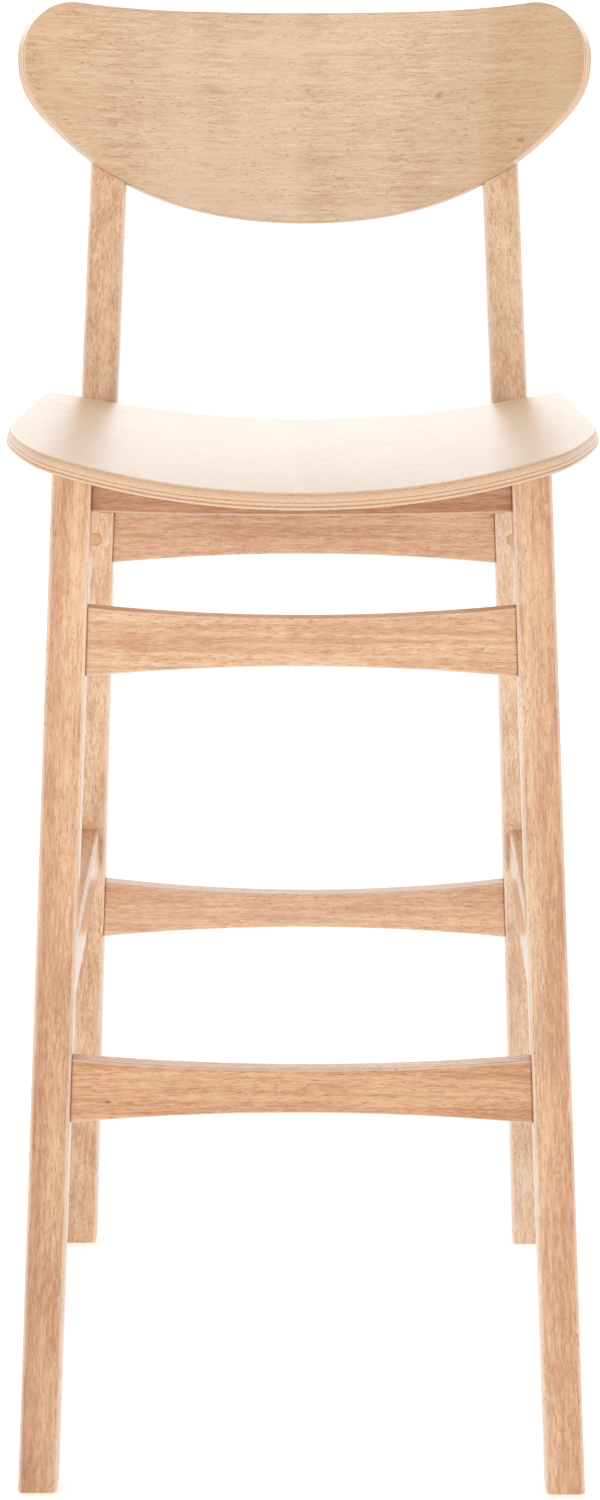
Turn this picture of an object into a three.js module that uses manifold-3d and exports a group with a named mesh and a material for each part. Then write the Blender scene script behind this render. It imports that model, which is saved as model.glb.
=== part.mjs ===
// Bar stool with a footrest: a bent plywood seat and backrest on a splayed solid-wood frame.
// Millimetres, +Z up. The sitter faces -Y, and the foot glides stand on z = 0.
// While the parts are made, y is counted from the front faces of the front legs at rail height;
// the finished group is then moved so that the origin is under the middle of the whole stool.
import * as THREE from "three";
import { mergeVertices } from "three/addons/utils/BufferGeometryUtils.js";
import Module from "manifold-3d";

const wasm = await Module();
wasm.setup();

// ---- Driving dimensions ----

const GAP = 0.3; // clearance between pieces that meet
const SIDES = { left: -1, right: 1 };

// Legs: x of the inner face at the floor, and how far it leans inwards for each mm of height.
const FRONT_INNER = { floor: 181.4, lean: 0.0465 };
const REAR_INNER = { floor: 179.6, lean: 0.0434 };
const LEG_WIDTH = { foot: 29, top: 28 };
const RAKE_HEIGHT = 675; // height where a front leg's face is at y = 0
const FRONT_RAKE = 0.0343; // forward run of a front leg for each mm below that height
const FRONT_DEPTH = { foot: 30, top: 34 };
const FRONT_LEG_HEIGHT = 790; // before its top is cut to the seat's underside
const REAR_FOOT_Y = 452;
const REAR_SPLAY = 0.1363; // backward run of a rear leg's front face for each mm below the bend
const REAR_DEPTH = { foot: 30, bend: 36, top: 22 };
const BEND_HEIGHT = 742;
const BEND_LENGTH = 36; // distance from the bend to where each straight stretch begins
const POST_HEIGHT = 1026;
const POST_TOP_RADIUS = 7;
const GLIDE_THICKNESS = 2;

// Seat: a plate bent across its width, level from side to side and falling to the rear.
const SEAT_THICKNESS = 12.2;
const SEAT_FRONT = { y: -54, z: 764.7 };
const SEAT_REAR_Y = 345;
const SEAT_FALL = 0.0576; // drop towards the rear for each mm of depth
const SEAT_BEND_RADIUS = 857;
const SEAT_FRONT_RADIUS = 301;
const SEAT_FRONT_ARC = 35.6; // degrees of the front arc on each side of the middle
const SEAT_CORNER = { pull: 0.4, run: 40 }; // curve from the front arc to the widest point
const SEAT_HALF_WIDTH = 210.4;
const SEAT_WIDEST_Y = 108;
const SEAT_REAR_HALF_WIDTH = 201;
const SEAT_REAR_CORNER = 36;

// Backrest: a plate bent about a leaning axis, its ends reaching forwards round the sitter.
const BACK_LEAN = THREE.MathUtils.degToRad(12);
const BACK_THICKNESS = 12;
const BACK_BEND_RADIUS = 420;
const BACK_SEAT_IN = 6; // how deep the panel is let into the middle of each post
const BACK_CENTRE_HEIGHT = 985; // height where that depth is measured
const BACK_TOP = 68.2;
const BACK_BOTTOM = -95.5;
const BACK_SHOULDER = { s: 182, h: 27, radius: 44.6 };
const BACK_LOWER_CURVE = [104, BACK_BOTTOM, 158, -62, 200, -24]; // control points, s and h in turn
const BACK_TIP_CURVE = { start: [219, -7], run: 22 }; // on to the shoulder's arc
const BACK_TOP_CURVE = { control: 40, end: 90 }; // from the shoulder's centre towards the middle
const HOUSING_REACH = 40; // how far before the panel its housing in the posts starts

// Cross rails: heights at the ends and at the middle, where both edges are drawn in.
const UPPER_RAIL = { endTop: 671, endBottom: 621, midTop: 663.5, midBottom: 628.5, depth: 13 };
const FOOTREST = { endTop: 338.9, endBottom: 290, midTop: 331.5, midBottom: 298, depth: 14 };
const REAR_STRETCHER = { endTop: 340, endBottom: 293, midTop: 330, midBottom: 301.5, depth: 16 };
const FRONT_APRON = { endTop: 775, endBottom: 737.5, midTop: 775, midBottom: 735, depth: 18 };
const REAR_APRON = { endTop: 727, endBottom: 690, midTop: 727, midBottom: 690, depth: 18 };
const RAIL_SET_BACK = 3.6;
const FRONT_APRON_BACK = { face: 9.6, tenon: 2 }; // from the leg's face, then from the apron's
const REAR_APRON_BACK = { face: 1, tenon: 9 };
const TENON = { length: 22, thickness: 8, shoulder: 8 };
const APRON_TENON = { length: 22, thickness: 8, shoulder: 5 };

// Side rails, which run from front to rear.
const SIDE_STRETCHER = { top: 389.8, bottom: 354.8, width: 21.5 };
const SIDE_APRON = { top: 790, frontBottom: 722, rearBottom: 708, width: 18 };
const SIDE_TENON = { length: 9, thickness: 8, height: 22, shoulder: 6 };

// Small parts.
const PEG = { radius: 5.15, length: 26, height: 641 };
const BLOCK = {
  reach: 51, nose: 12, legClearance: 15, frontBottom: 733, rearBottom: 711, height: 60,
  slack: 0.1, // added to the gap beside the side apron
  screwIn: 18, screwAlong: 19.5,
};
const SCREW = { headRadius: 4.2, headHeight: 2.6, shankRadius: 2.1, faceRadius: 3.4, rim: 1.2, point: 4 };
const SEAT_SCREW_BITE = 8;
const BACK_SCREW = { bite: 8, headDepth: 13, heights: [957, 1003] };
const PLUG_RADIUS = 5;
const GLIDE = { radius: 10, rounding: 0.8, nailRadius: 1.4, nailLength: 11, point: 3 };

// Working sizes of the cuts and facets.
const CUT_REACH = { x: 240, front: -80, rear: 420, up: 60 }; // past the stool, for cutting under the seat
const RUN_OUT = 5; // how far a bore starts outside the wood
const HEAD_LAP = 1; // how far a screw's hole reaches over its head
const TIP_TRIM = 0.4; // left off a bent plate's outermost tips
const WELD = 1e-4; // corners closer than this are one point
const COLUMNS = 56; // facets across a bent plate
const CURVE_SEGMENTS = 20;
const OUTLINE_SEGMENTS = 24;
const ROUND_SEGMENTS = 24;
const SCREW_SEGMENTS = 12;

// ---- Materials ----

const wood = (color) => new THREE.MeshStandardMaterial({ color, roughness: 0.45, metalness: 0 });
const MATERIALS = {
  frame: wood(0xe2b78e),
  veneer: wood(0xe8c8a2),
  block: wood(0xd8b48a),
  steel: new THREE.MeshStandardMaterial({ color: 0xb9bcc0, roughness: 0.35, metalness: 1 }),
  nylon: new THREE.MeshStandardMaterial({ color: 0xd9d3c7, roughness: 0.6, metalness: 0 }),
};

// ---- Solids ----

// A closed geometry as a manifold solid, turned the right way out if it was mirrored.
function solidOf(geometry) {
  const bare = new THREE.BufferGeometry();
  bare.setAttribute("position", geometry.getAttribute("position"));
  bare.setIndex(geometry.index);
  const merged = mergeVertices(bare, WELD);
  const triVerts = new Uint32Array(merged.index.array);
  const vertProperties = merged.attributes.position.array;
  const made = new wasm.Manifold(new wasm.Mesh({ numProp: 3, vertProperties, triVerts }));
  if (made.volume() > 0) return made;
  for (let i = 0; i < triVerts.length; i += 3) {
    [triVerts[i + 1], triVerts[i + 2]] = [triVerts[i + 2], triVerts[i + 1]];
  }
  return new wasm.Manifold(new wasm.Mesh({ numProp: 3, vertProperties, triVerts }));
}

function geometryOf(solid) {
  const { numProp, numVert, vertProperties, triVerts } = solid.getMesh();
  const positions = new Float32Array(numVert * 3);
  for (let i = 0; i < numVert; i++) {
    positions.set(vertProperties.subarray(i * numProp, i * numProp + 3), i * 3);
  }
  const geometry = new THREE.BufferGeometry();
  geometry.setAttribute("position", new THREE.BufferAttribute(positions, 3));
  geometry.setIndex(new THREE.BufferAttribute(triVerts, 1));
  geometry.computeVertexNormals();
  return geometry;
}

const stool = new THREE.Group();
const solids = new Map();

function keep(name, material, solid) {
  solids.set(name, { material, solid });
}

function cutFrom(name, tool) {
  const part = solids.get(name);
  part.solid = part.solid.subtract(tool);
}

// An outline extruded by a depth, with place(u, v, w) giving each corner's final position.
function extruded(outline, depth, place) {
  const options = { depth, bevelEnabled: false, curveSegments: CURVE_SEGMENTS };
  const geometry = new THREE.ExtrudeGeometry(outline, options);
  const position = geometry.getAttribute("position");
  for (let i = 0; i < position.count; i++) {
    position.setXYZ(i, ...place(position.getX(i), position.getY(i), position.getZ(i)));
  }
  return solidOf(geometry);
}

function polygon(points) {
  return new THREE.Shape(points.map(([u, v]) => new THREE.Vector2(u, v)));
}

function block(x0, x1, y0, y1, z0, z1) {
  const outline = polygon([[x0, y0], [x1, y0], [x1, y1], [x0, y1]]);
  return extruded(outline, z1 - z0, (x, y, z) => [x, y, z0 + z]);
}

// A profile of [radius, distance] points turned about the line from a point along a direction.
function turned(profile, origin, direction, segments) {
  const points = profile.map(([radius, distance]) => new THREE.Vector2(radius, distance));
  const geometry = new THREE.LatheGeometry(points, segments);
  const along = new THREE.Vector3(...direction).normalize();
  const turn = new THREE.Quaternion().setFromUnitVectors(new THREE.Vector3(0, 1, 0), along);
  geometry.applyQuaternion(turn);
  geometry.translate(...origin);
  return solidOf(geometry);
}

function rod(origin, direction, radius, length, segments) {
  return turned([[0, 0], [radius, 0], [radius, length], [0, length]], origin, direction, segments);
}

// The lowest and highest v of a closed outline on the line u = constant.
function spanAt(points, u) {
  const found = [];
  points.forEach((a, i) => {
    const b = points[(i + 1) % points.length];
    if ((a.x - u) * (b.x - u) <= 0 && a.x !== b.x) {
      found.push(a.y + ((u - a.x) / (b.x - a.x)) * (b.y - a.y));
    }
  });
  return [Math.min(...found), Math.max(...found)];
}

// A bent plate: its flat outline is cut into columns, and place(u, v, depth) puts each corner.
function bentPlate(outline, depths, place) {
  const points = outline.getPoints();
  const reach = Math.max(...points.map((p) => p.x)) - TIP_TRIM;
  const corners = [];
  for (let i = 0; i <= COLUMNS; i++) {
    const u = -reach * Math.cos((Math.PI * i) / COLUMNS);
    const [low, high] = spanAt(points, u);
    for (const depth of depths) {
      corners.push(...place(u, low, depth), ...place(u, high, depth));
    }
  }
  const faces = [0, 2, 1, 1, 2, 3];
  for (let i = 0; i < COLUMNS; i++) {
    const a = 4 * i;
    const b = a + 4;
    const rims = [[0, 1], [1, 3], [3, 2], [2, 0]];
    for (const [p, q] of rims) faces.push(a + p, a + q, b + p, a + q, b + q, b + p);
  }
  const last = 4 * COLUMNS;
  faces.push(last, last + 1, last + 2, last + 1, last + 3, last + 2);
  const geometry = new THREE.BufferGeometry();
  geometry.setAttribute("position", new THREE.Float32BufferAttribute(corners, 3));
  geometry.setIndex(faces);
  return solidOf(geometry);
}

// ---- Where the frame's faces are ----

const between = (from, to, share) => from + (to - from) * share;
const legWidth = (z) => between(LEG_WIDTH.foot, LEG_WIDTH.top, z / BEND_HEIGHT);
const frontInner = (z) => FRONT_INNER.floor - FRONT_INNER.lean * z;
const rearInner = (z) => REAR_INNER.floor - REAR_INNER.lean * z;
const frontFace = (z) => (z - RAKE_HEIGHT) * FRONT_RAKE;
const frontBack = (z) => frontFace(z) + between(FRONT_DEPTH.foot, FRONT_DEPTH.top, z / BEND_HEIGHT);
const rearFace = (z) => REAR_FOOT_Y - REAR_SPLAY * z;
const bendY = rearFace(BEND_HEIGHT);
const postFace = (z) => bendY + (z - BEND_HEIGHT) * Math.tan(BACK_LEAN);
const rearBackFoot = REAR_FOOT_Y + REAR_DEPTH.foot;
const rearBack = (z) => between(rearBackFoot, bendY + REAR_DEPTH.bend, z / BEND_HEIGHT);
const postBackTop = postFace(POST_HEIGHT) + REAR_DEPTH.top;
const postShare = (z) => (z - BEND_HEIGHT) / (POST_HEIGHT - BEND_HEIGHT);
const postBack = (z) => between(bendY + REAR_DEPTH.bend, postBackTop, postShare(z));

// ---- Seat ----

// Height of the surface that lies so deep below the seat's upper face.
function seatSurface(x, y, depth) {
  const rise = SEAT_BEND_RADIUS - Math.sqrt((SEAT_BEND_RADIUS + depth) ** 2 - x * x);
  return SEAT_FRONT.z - SEAT_FALL * (y - SEAT_FRONT.y) + rise;
}

// The seat's edge is cut square to its bent face, so its underside is the wider one.
function seatPlace(x, y, depth) {
  const reach = x * (1 + depth / SEAT_BEND_RADIUS);
  return [reach, y, seatSurface(reach, y, depth)];
}

// Half of the outline from the middle of the front edge to the rear corner, then mirrored.
function seatOutline() {
  const arc = THREE.MathUtils.degToRad(SEAT_FRONT_ARC);
  const endX = SEAT_FRONT_RADIUS * Math.sin(arc);
  const endY = SEAT_FRONT.y + SEAT_FRONT_RADIUS * (1 - Math.cos(arc));
  const pull = SEAT_CORNER.pull * (SEAT_HALF_WIDTH - endX);
  const right = -Math.PI / 2;
  const half = new THREE.Path();
  half.absarc(0, SEAT_FRONT.y + SEAT_FRONT_RADIUS, SEAT_FRONT_RADIUS, right, right + arc);
  half.bezierCurveTo(
    endX + pull, endY + pull * Math.tan(arc),
    SEAT_HALF_WIDTH, SEAT_WIDEST_Y - SEAT_CORNER.run,
    SEAT_HALF_WIDTH, SEAT_WIDEST_Y,
  );
  const rearX = SEAT_REAR_HALF_WIDTH;
  half.lineTo(rearX, SEAT_REAR_Y - SEAT_REAR_CORNER);
  half.quadraticCurveTo(rearX, SEAT_REAR_Y, rearX - SEAT_REAR_CORNER, SEAT_REAR_Y);
  return mirroredOutline(half);
}

function mirroredOutline(half) {
  const right = half.getPoints(OUTLINE_SEGMENTS);
  const left = right.slice(1).reverse().map((p) => new THREE.Vector2(-p.x, p.y));
  return new THREE.Shape([...right, ...left]);
}

keep("seat_panel", MATERIALS.veneer, bentPlate(seatOutline(), [SEAT_THICKNESS, 0], seatPlace));

// Everything above the seat's underside, for cutting the tops of what carries the seat.
const { x: cutX, front: cutFront, rear: cutRear, up: cutUp } = CUT_REACH;
const aboveSeat = bentPlate(
  polygon([[-cutX, cutFront], [cutX, cutFront], [cutX, cutRear], [-cutX, cutRear]]),
  [SEAT_THICKNESS + GAP, -cutUp],
  seatPlace,
);

// ---- Backrest ----

const backAxis = [Math.sin(BACK_LEAN), Math.cos(BACK_LEAN)]; // y and z of the way up the panel
const backDepth = [Math.cos(BACK_LEAN), -Math.sin(BACK_LEAN)]; // y and z of the way through it
const outerBend = BACK_BEND_RADIUS + BACK_THICKNESS;
const postMiddle = rearInner(BACK_CENTRE_HEIGHT) + LEG_WIDTH.top / 2;
const sagAtPost = outerBend - Math.sqrt(outerBend ** 2 - postMiddle ** 2);
const bendCentre = BACK_SEAT_IN + sagAtPost - outerBend; // along the depth from the post's face

// s runs along the inner face, h up the panel, and depth goes back through the plywood.
function backPlace(s, h, depth) {
  const angle = s / BACK_BEND_RADIUS;
  const radius = BACK_BEND_RADIUS + depth;
  const through = bendCentre + radius * Math.cos(angle);
  return [
    radius * Math.sin(angle),
    postFace(BACK_CENTRE_HEIGHT) + through * backDepth[0] + h * backAxis[0],
    BACK_CENTRE_HEIGHT + through * backDepth[1] + h * backAxis[1],
  ];
}

function backOutline() {
  const { s, h, radius } = BACK_SHOULDER;
  const half = new THREE.Path();
  half.moveTo(0, BACK_BOTTOM);
  half.bezierCurveTo(...BACK_LOWER_CURVE);
  half.bezierCurveTo(...BACK_TIP_CURVE.start, s + radius, h - BACK_TIP_CURVE.run, s + radius, h);
  half.absarc(s, h, radius, 0, Math.PI / 2);
  half.quadraticCurveTo(s - BACK_TOP_CURVE.control, BACK_TOP, s - BACK_TOP_CURVE.end, BACK_TOP);
  half.lineTo(0, BACK_TOP);
  return mirroredOutline(half);
}

keep("backrest_panel", MATERIALS.veneer, bentPlate(backOutline(), [0, BACK_THICKNESS], backPlace));

// The panel and all that lies before it, grown by the gap, for letting the panel into the posts.
const backMiddle = new THREE.Vector2(0, (BACK_TOP + BACK_BOTTOM) / 2);
const backHousing = bentPlate(
  new THREE.Shape(backOutline().getPoints().map((p) => {
    const arm = p.clone().sub(backMiddle);
    return arm.setLength(arm.length() + GAP).add(backMiddle);
  })),
  [-HOUSING_REACH, BACK_THICKNESS + GAP],
  backPlace,
);

// ---- Legs ----

// A leg from its side profile in y and z, with a width across x that follows its lean.
function leg(profile, side, inner) {
  return extruded(profile, 1, (y, z, share) => {
    return [side * (inner(z) + share * legWidth(z)), y, z];
  });
}

const frontProfile = polygon([
  [frontFace(GLIDE_THICKNESS), GLIDE_THICKNESS],
  [frontBack(GLIDE_THICKNESS), GLIDE_THICKNESS],
  [frontBack(FRONT_LEG_HEIGHT), FRONT_LEG_HEIGHT],
  [frontFace(FRONT_LEG_HEIGHT), FRONT_LEG_HEIGHT],
]);

function rearProfile() {
  const low = BEND_HEIGHT - BEND_LENGTH;
  const high = BEND_HEIGHT + BEND_LENGTH;
  const shoulder = POST_HEIGHT - POST_TOP_RADIUS;
  const profile = new THREE.Shape();
  profile.moveTo(rearFace(GLIDE_THICKNESS), GLIDE_THICKNESS);
  profile.lineTo(rearBack(GLIDE_THICKNESS), GLIDE_THICKNESS);
  profile.lineTo(rearBack(low), low);
  profile.quadraticCurveTo(rearBack(BEND_HEIGHT), BEND_HEIGHT, postBack(high), high);
  profile.lineTo(postBack(shoulder), shoulder);
  profile.quadraticCurveTo(
    postBack(POST_HEIGHT), POST_HEIGHT,
    postBack(POST_HEIGHT) - POST_TOP_RADIUS, POST_HEIGHT,
  );
  profile.lineTo(postFace(POST_HEIGHT), POST_HEIGHT);
  profile.lineTo(postFace(high), high);
  profile.quadraticCurveTo(bendY, BEND_HEIGHT, rearFace(low), low);
  profile.closePath();
  return profile;
}

for (const [name, side] of Object.entries(SIDES)) {
  const front = leg(frontProfile, side, frontInner).subtract(aboveSeat);
  keep(`front_leg_${name}`, MATERIALS.frame, front);
  const rear = leg(rearProfile(), side, rearInner).subtract(backHousing);
  keep(`rear_leg_${name}`, MATERIALS.frame, rear);
}

// ---- Cross rails ----

// A rail between two legs, with both long edges curved and a tenon in each leg.
function crossRail(name, legs, sizes, inner, y, tenon, tenonY) {
  const reach = (z) => inner(z) - GAP;
  const outline = new THREE.Shape();
  outline.moveTo(-reach(sizes.endBottom), sizes.endBottom);
  outline.quadraticCurveTo(
    0, 2 * sizes.midBottom - sizes.endBottom, reach(sizes.endBottom), sizes.endBottom,
  );
  outline.lineTo(reach(sizes.endTop), sizes.endTop);
  outline.quadraticCurveTo(
    0, 2 * sizes.midTop - sizes.endTop, -reach(sizes.endTop), sizes.endTop,
  );
  let rail = extruded(outline, sizes.depth, (x, z, depth) => [x, y + depth, z]);
  const bottom = sizes.endBottom + tenon.shoulder;
  const seatLimit = seatSurface(reach(sizes.endTop), y, SEAT_THICKNESS);
  const top = Math.min(sizes.endTop, seatLimit) - tenon.shoulder;
  const root = reach(top) - tenon.length;
  const tip = inner((top + bottom) / 2) + tenon.length;
  for (const [sideName, side] of Object.entries(SIDES)) {
    const far = (grow) => [side * root, side * (tip + grow)].sort((a, b) => a - b);
    const stub = block(...far(0), tenonY, tenonY + tenon.thickness, bottom, top);
    rail = rail.add(stub);
    const mortise = block(
      ...far(GAP), tenonY - GAP, tenonY + tenon.thickness + GAP, bottom - GAP, top + GAP,
    );
    cutFrom(`${legs}_leg_${sideName}`, mortise);
  }
  keep(name, MATERIALS.frame, rail);
}

const middle = (sizes) => (sizes.endTop + sizes.endBottom) / 2;

function railBetween(name, legs, sizes, inner, face) {
  const y = face(middle(sizes)) + RAIL_SET_BACK;
  crossRail(name, legs, sizes, inner, y, TENON, y + (sizes.depth - TENON.thickness) / 2);
}

railBetween("front_upper_rail", "front", UPPER_RAIL, frontInner, frontFace);
railBetween("footrest_rail", "front", FOOTREST, frontInner, frontFace);
railBetween("rear_upper_rail", "rear", UPPER_RAIL, rearInner, rearFace);
railBetween("rear_stretcher", "rear", REAR_STRETCHER, rearInner, rearFace);

function apronBetween(legs, sizes, inner, y, tenonBack) {
  crossRail(`${legs}_apron`, legs, sizes, inner, y, APRON_TENON, y + tenonBack);
}

const frontApronY = frontFace(FRONT_APRON.endBottom) + FRONT_APRON_BACK.face;
const rearApronY = rearFace(middle(REAR_APRON)) + REAR_APRON_BACK.face;
apronBetween("front", FRONT_APRON, frontInner, frontApronY, FRONT_APRON_BACK.tenon);
apronBetween("rear", REAR_APRON, rearInner, rearApronY, REAR_APRON_BACK.tenon);

// ---- Side rails ----

// Where the rear legs stand, moved forwards by the gap, for fitting the side rails to their faces.
const rearLegs = extruded(rearProfile(), 2 * cutX, (y, z, w) => [w - cutX, y - GAP, z]);

// A rail from a front leg's back to a rear leg's face, with a tenon in each.
function sideRail(name, sideName, side, { top, frontBottom, rearBottom, width }) {
  const centre = side * (frontInner(frontBottom) + legWidth(frontBottom) / 2);
  const farY = rearFace(rearBottom) + SIDE_TENON.length;
  const outline = polygon([
    [frontBack(frontBottom) + GAP, frontBottom],
    [farY, rearBottom],
    [farY, top],
    [frontBack(top) + GAP, top],
  ]);
  const across = (y, z, w) => [centre - width / 2 + w, y, z];
  let rail = extruded(outline, width, across).subtract(rearLegs);
  const x0 = centre - SIDE_TENON.thickness / 2;
  const x1 = centre + SIDE_TENON.thickness / 2;
  const ends = [
    { legs: "front", bottom: frontBottom, face: frontBack(frontBottom), way: -1 },
    { legs: "rear", bottom: rearBottom, face: rearFace(rearBottom), way: 1 },
  ];
  for (const { legs, bottom, face, way } of ends) {
    const z0 = bottom + SIDE_TENON.shoulder;
    const z1 = z0 + SIDE_TENON.height;
    const reach = SIDE_TENON.length;
    const span = (grow) => [face - way * reach, face + way * (reach + grow)].sort((p, q) => p - q);
    rail = rail.add(block(x0, x1, ...span(0), z0, z1));
    const mortise = block(x0 - GAP, x1 + GAP, ...span(GAP), z0 - GAP, z1 + GAP);
    cutFrom(`${legs}_leg_${sideName}`, mortise);
  }
  keep(name, MATERIALS.frame, rail);
}

for (const [name, side] of Object.entries(SIDES)) {
  const { top, bottom, width } = SIDE_STRETCHER;
  const stretcher = { top, width, frontBottom: bottom, rearBottom: bottom };
  sideRail(`side_stretcher_${name}`, name, side, stretcher);
  sideRail(`side_apron_${name}`, name, side, SIDE_APRON);
}

for (const name of ["front_apron", "side_apron_left", "side_apron_right"]) cutFrom(name, aboveSeat);

// ---- Pegs through the rear upper rail's tenons ----

for (const [name, side] of Object.entries(SIDES)) {
  const x = side * (rearInner(PEG.height) + legWidth(PEG.height) / 2);
  const start = [x, rearFace(PEG.height) + GAP, PEG.height];
  const peg = rod(start, [0, 1, 0], PEG.radius, PEG.length, ROUND_SEGMENTS);
  keep(`rail_peg_${name}`, MATERIALS.block, peg);
  const mouth = [x, start[1] - RUN_OUT, PEG.height];
  const hole = rod(mouth, [0, 1, 0], PEG.radius + GAP, PEG.length + RUN_OUT + GAP, ROUND_SEGMENTS);
  cutFrom(`rear_leg_${name}`, hole);
  cutFrom("rear_upper_rail", hole);
}

// ---- Corner blocks and seat screws ----

function screwProfile(length) {
  const { headRadius, headHeight, shankRadius, faceRadius, rim, point } = SCREW;
  return [
    [0, 0], [faceRadius, 0], [headRadius, rim], [headRadius, headHeight],
    [shankRadius, headHeight], [shankRadius, length - point], [0, length],
  ];
}

// A screw, and its clearance hole cut from the pieces that it goes through.
function screw(name, head, direction, length, pieces) {
  keep(name, MATERIALS.steel, turned(screwProfile(length), head, direction, SCREW_SEGMENTS));
  const along = new THREE.Vector3(...direction).normalize();
  const start = SCREW.headHeight - HEAD_LAP;
  const mouth = new THREE.Vector3(...head).addScaledVector(along, start).toArray();
  const hole = rod(mouth, direction, SCREW.shankRadius + GAP, length - start + GAP, SCREW_SEGMENTS);
  for (const piece of pieces) cutFrom(piece, hole);
}

const sideApronInner = (end) => {
  const z = SIDE_APRON[`${end}Bottom`];
  return frontInner(SIDE_APRON.frontBottom) + (legWidth(z) - SIDE_APRON.width) / 2;
};

for (const end of ["front", "rear"]) {
  const way = end === "front" ? 1 : -1;
  const wall = end === "front" ? frontApronY + FRONT_APRON.depth + GAP : rearApronY - GAP;
  const bottom = BLOCK[`${end}Bottom`];
  for (const [name, side] of Object.entries(SIDES)) {
    const x = sideApronInner(end) - GAP - BLOCK.slack;
    const outline = polygon([
      [side * (x - BLOCK.reach), wall],
      [side * (x - BLOCK.nose), wall],
      [side * x, wall + way * BLOCK.legClearance],
      [side * x, wall + way * BLOCK.reach],
    ]);
    const solid = extruded(outline, BLOCK.height, (u, v, w) => [u, v, bottom + w]).subtract(aboveSeat);
    keep(`corner_block_${end}_${name}`, MATERIALS.block, solid);
    const spot = [side * (x - BLOCK.screwIn), wall + way * BLOCK.screwAlong];
    const head = [...spot, bottom - SCREW.headHeight - GAP];
    const seatUnderside = seatSurface(...spot, SEAT_THICKNESS);
    const length = seatUnderside + SEAT_SCREW_BITE - head[2];
    const pieces = [`corner_block_${end}_${name}`, "seat_panel"];
    screw(`seat_screw_${end}_${name}`, head, [0, 0, 1], length, pieces);
  }
}

// ---- Backrest screws, driven from behind the posts and hidden by wooden plugs ----

BACK_SCREW.heights.forEach((z, row) => {
  const level = row === 0 ? "lower" : "upper";
  const through = (postBack(z) - postFace(z)) * Math.cos(BACK_LEAN);
  for (const [name, side] of Object.entries(SIDES)) {
    const x = side * (rearInner(z) + LEG_WIDTH.top / 2);
    const at = (depth) => [x, postFace(z) + depth * backDepth[0], z + depth * backDepth[1]];
    const forwards = [0, -backDepth[0], -backDepth[1]];
    const panelDepth = BACK_SEAT_IN - BACK_SCREW.bite;
    const length = BACK_SCREW.headDepth + SCREW.headHeight - panelDepth;
    const head = at(BACK_SCREW.headDepth + SCREW.headHeight + GAP);
    const pieces = [`rear_leg_${name}`, "backrest_panel"];
    screw(`backrest_screw_${level}_${name}`, head, forwards, length, pieces);
    const mouth = through + 2 * RUN_OUT;
    const bore = rod(at(mouth), forwards, PLUG_RADIUS + GAP, mouth - BACK_SCREW.headDepth, ROUND_SEGMENTS);
    cutFrom(`rear_leg_${name}`, bore);
    const plugLength = through - BACK_SCREW.headDepth - SCREW.headHeight - 2 * GAP;
    const plug = rod(at(through), forwards, PLUG_RADIUS, plugLength, ROUND_SEGMENTS);
    keep(`backrest_plug_${level}_${name}`, MATERIALS.block, plug);
  }
});

// ---- Foot glides ----

const feet = {
  front: { inner: frontInner, y: frontFace(0) + FRONT_DEPTH.foot / 2 },
  rear: { inner: rearInner, y: REAR_FOOT_Y + REAR_DEPTH.foot / 2 },
};

for (const [end, foot] of Object.entries(feet)) {
  for (const [name, side] of Object.entries(SIDES)) {
    const { radius, rounding, nailRadius, nailLength, point } = GLIDE;
    const centre = [side * (foot.inner(0) + LEG_WIDTH.foot / 2), foot.y, 0];
    const rim = GLIDE_THICKNESS - GAP;
    const profile = [
      [0, 0], [radius - rounding, 0], [radius, rounding], [radius, rim],
      [nailRadius, rim], [nailRadius, nailLength - point], [0, nailLength],
    ];
    const glide = turned(profile, centre, [0, 0, 1], ROUND_SEGMENTS);
    keep(`foot_glide_${end}_${name}`, MATERIALS.nylon, glide);
    const hole = rod(centre, [0, 0, 1], nailRadius + GAP, nailLength + GAP, ROUND_SEGMENTS);
    cutFrom(`${end}_leg_${name}`, hole);
  }
}

// ---- Assembly ----

for (const [name, { material, solid }] of solids) {
  const mesh = new THREE.Mesh(geometryOf(solid), material);
  mesh.name = name;
  stool.add(mesh);
}

const box = new THREE.Box3().setFromObject(stool);
stool.position.y = -(box.min.y + box.max.y) / 2;

export default stool;
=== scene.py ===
"""Looks of a bar stool with a footrest: lacquered solid-wood frame, bent plywood seat and backrest.

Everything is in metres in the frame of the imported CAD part, +Z up, the sitter facing -Y. Faces of the
legs and rails are measured on the CAD nodes, and rebuilt here with rounded arrises and fine surfaces.
"""

import functools
import math

import bmesh
import bpy
import numpy as np
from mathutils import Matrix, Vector


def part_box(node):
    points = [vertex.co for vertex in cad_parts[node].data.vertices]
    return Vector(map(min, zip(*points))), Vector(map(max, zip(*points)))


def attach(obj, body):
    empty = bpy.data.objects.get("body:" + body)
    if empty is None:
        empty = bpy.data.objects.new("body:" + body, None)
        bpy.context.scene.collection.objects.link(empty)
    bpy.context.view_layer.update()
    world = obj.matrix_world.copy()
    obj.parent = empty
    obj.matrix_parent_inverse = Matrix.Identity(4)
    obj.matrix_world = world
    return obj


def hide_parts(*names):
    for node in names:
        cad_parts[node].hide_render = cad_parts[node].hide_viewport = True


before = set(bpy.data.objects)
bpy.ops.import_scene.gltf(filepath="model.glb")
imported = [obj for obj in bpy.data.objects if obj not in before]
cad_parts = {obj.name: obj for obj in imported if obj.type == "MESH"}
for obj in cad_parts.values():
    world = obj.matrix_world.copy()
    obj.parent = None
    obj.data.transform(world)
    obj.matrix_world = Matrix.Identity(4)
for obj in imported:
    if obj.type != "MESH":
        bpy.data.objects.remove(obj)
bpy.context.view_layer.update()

MM = 0.001
SIDES = {"left": -1, "right": 1}
scene = bpy.context.scene
add_to_scene = scene.collection.objects.link

# ---- Sizes that the frame doesn't state by itself ----

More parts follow.
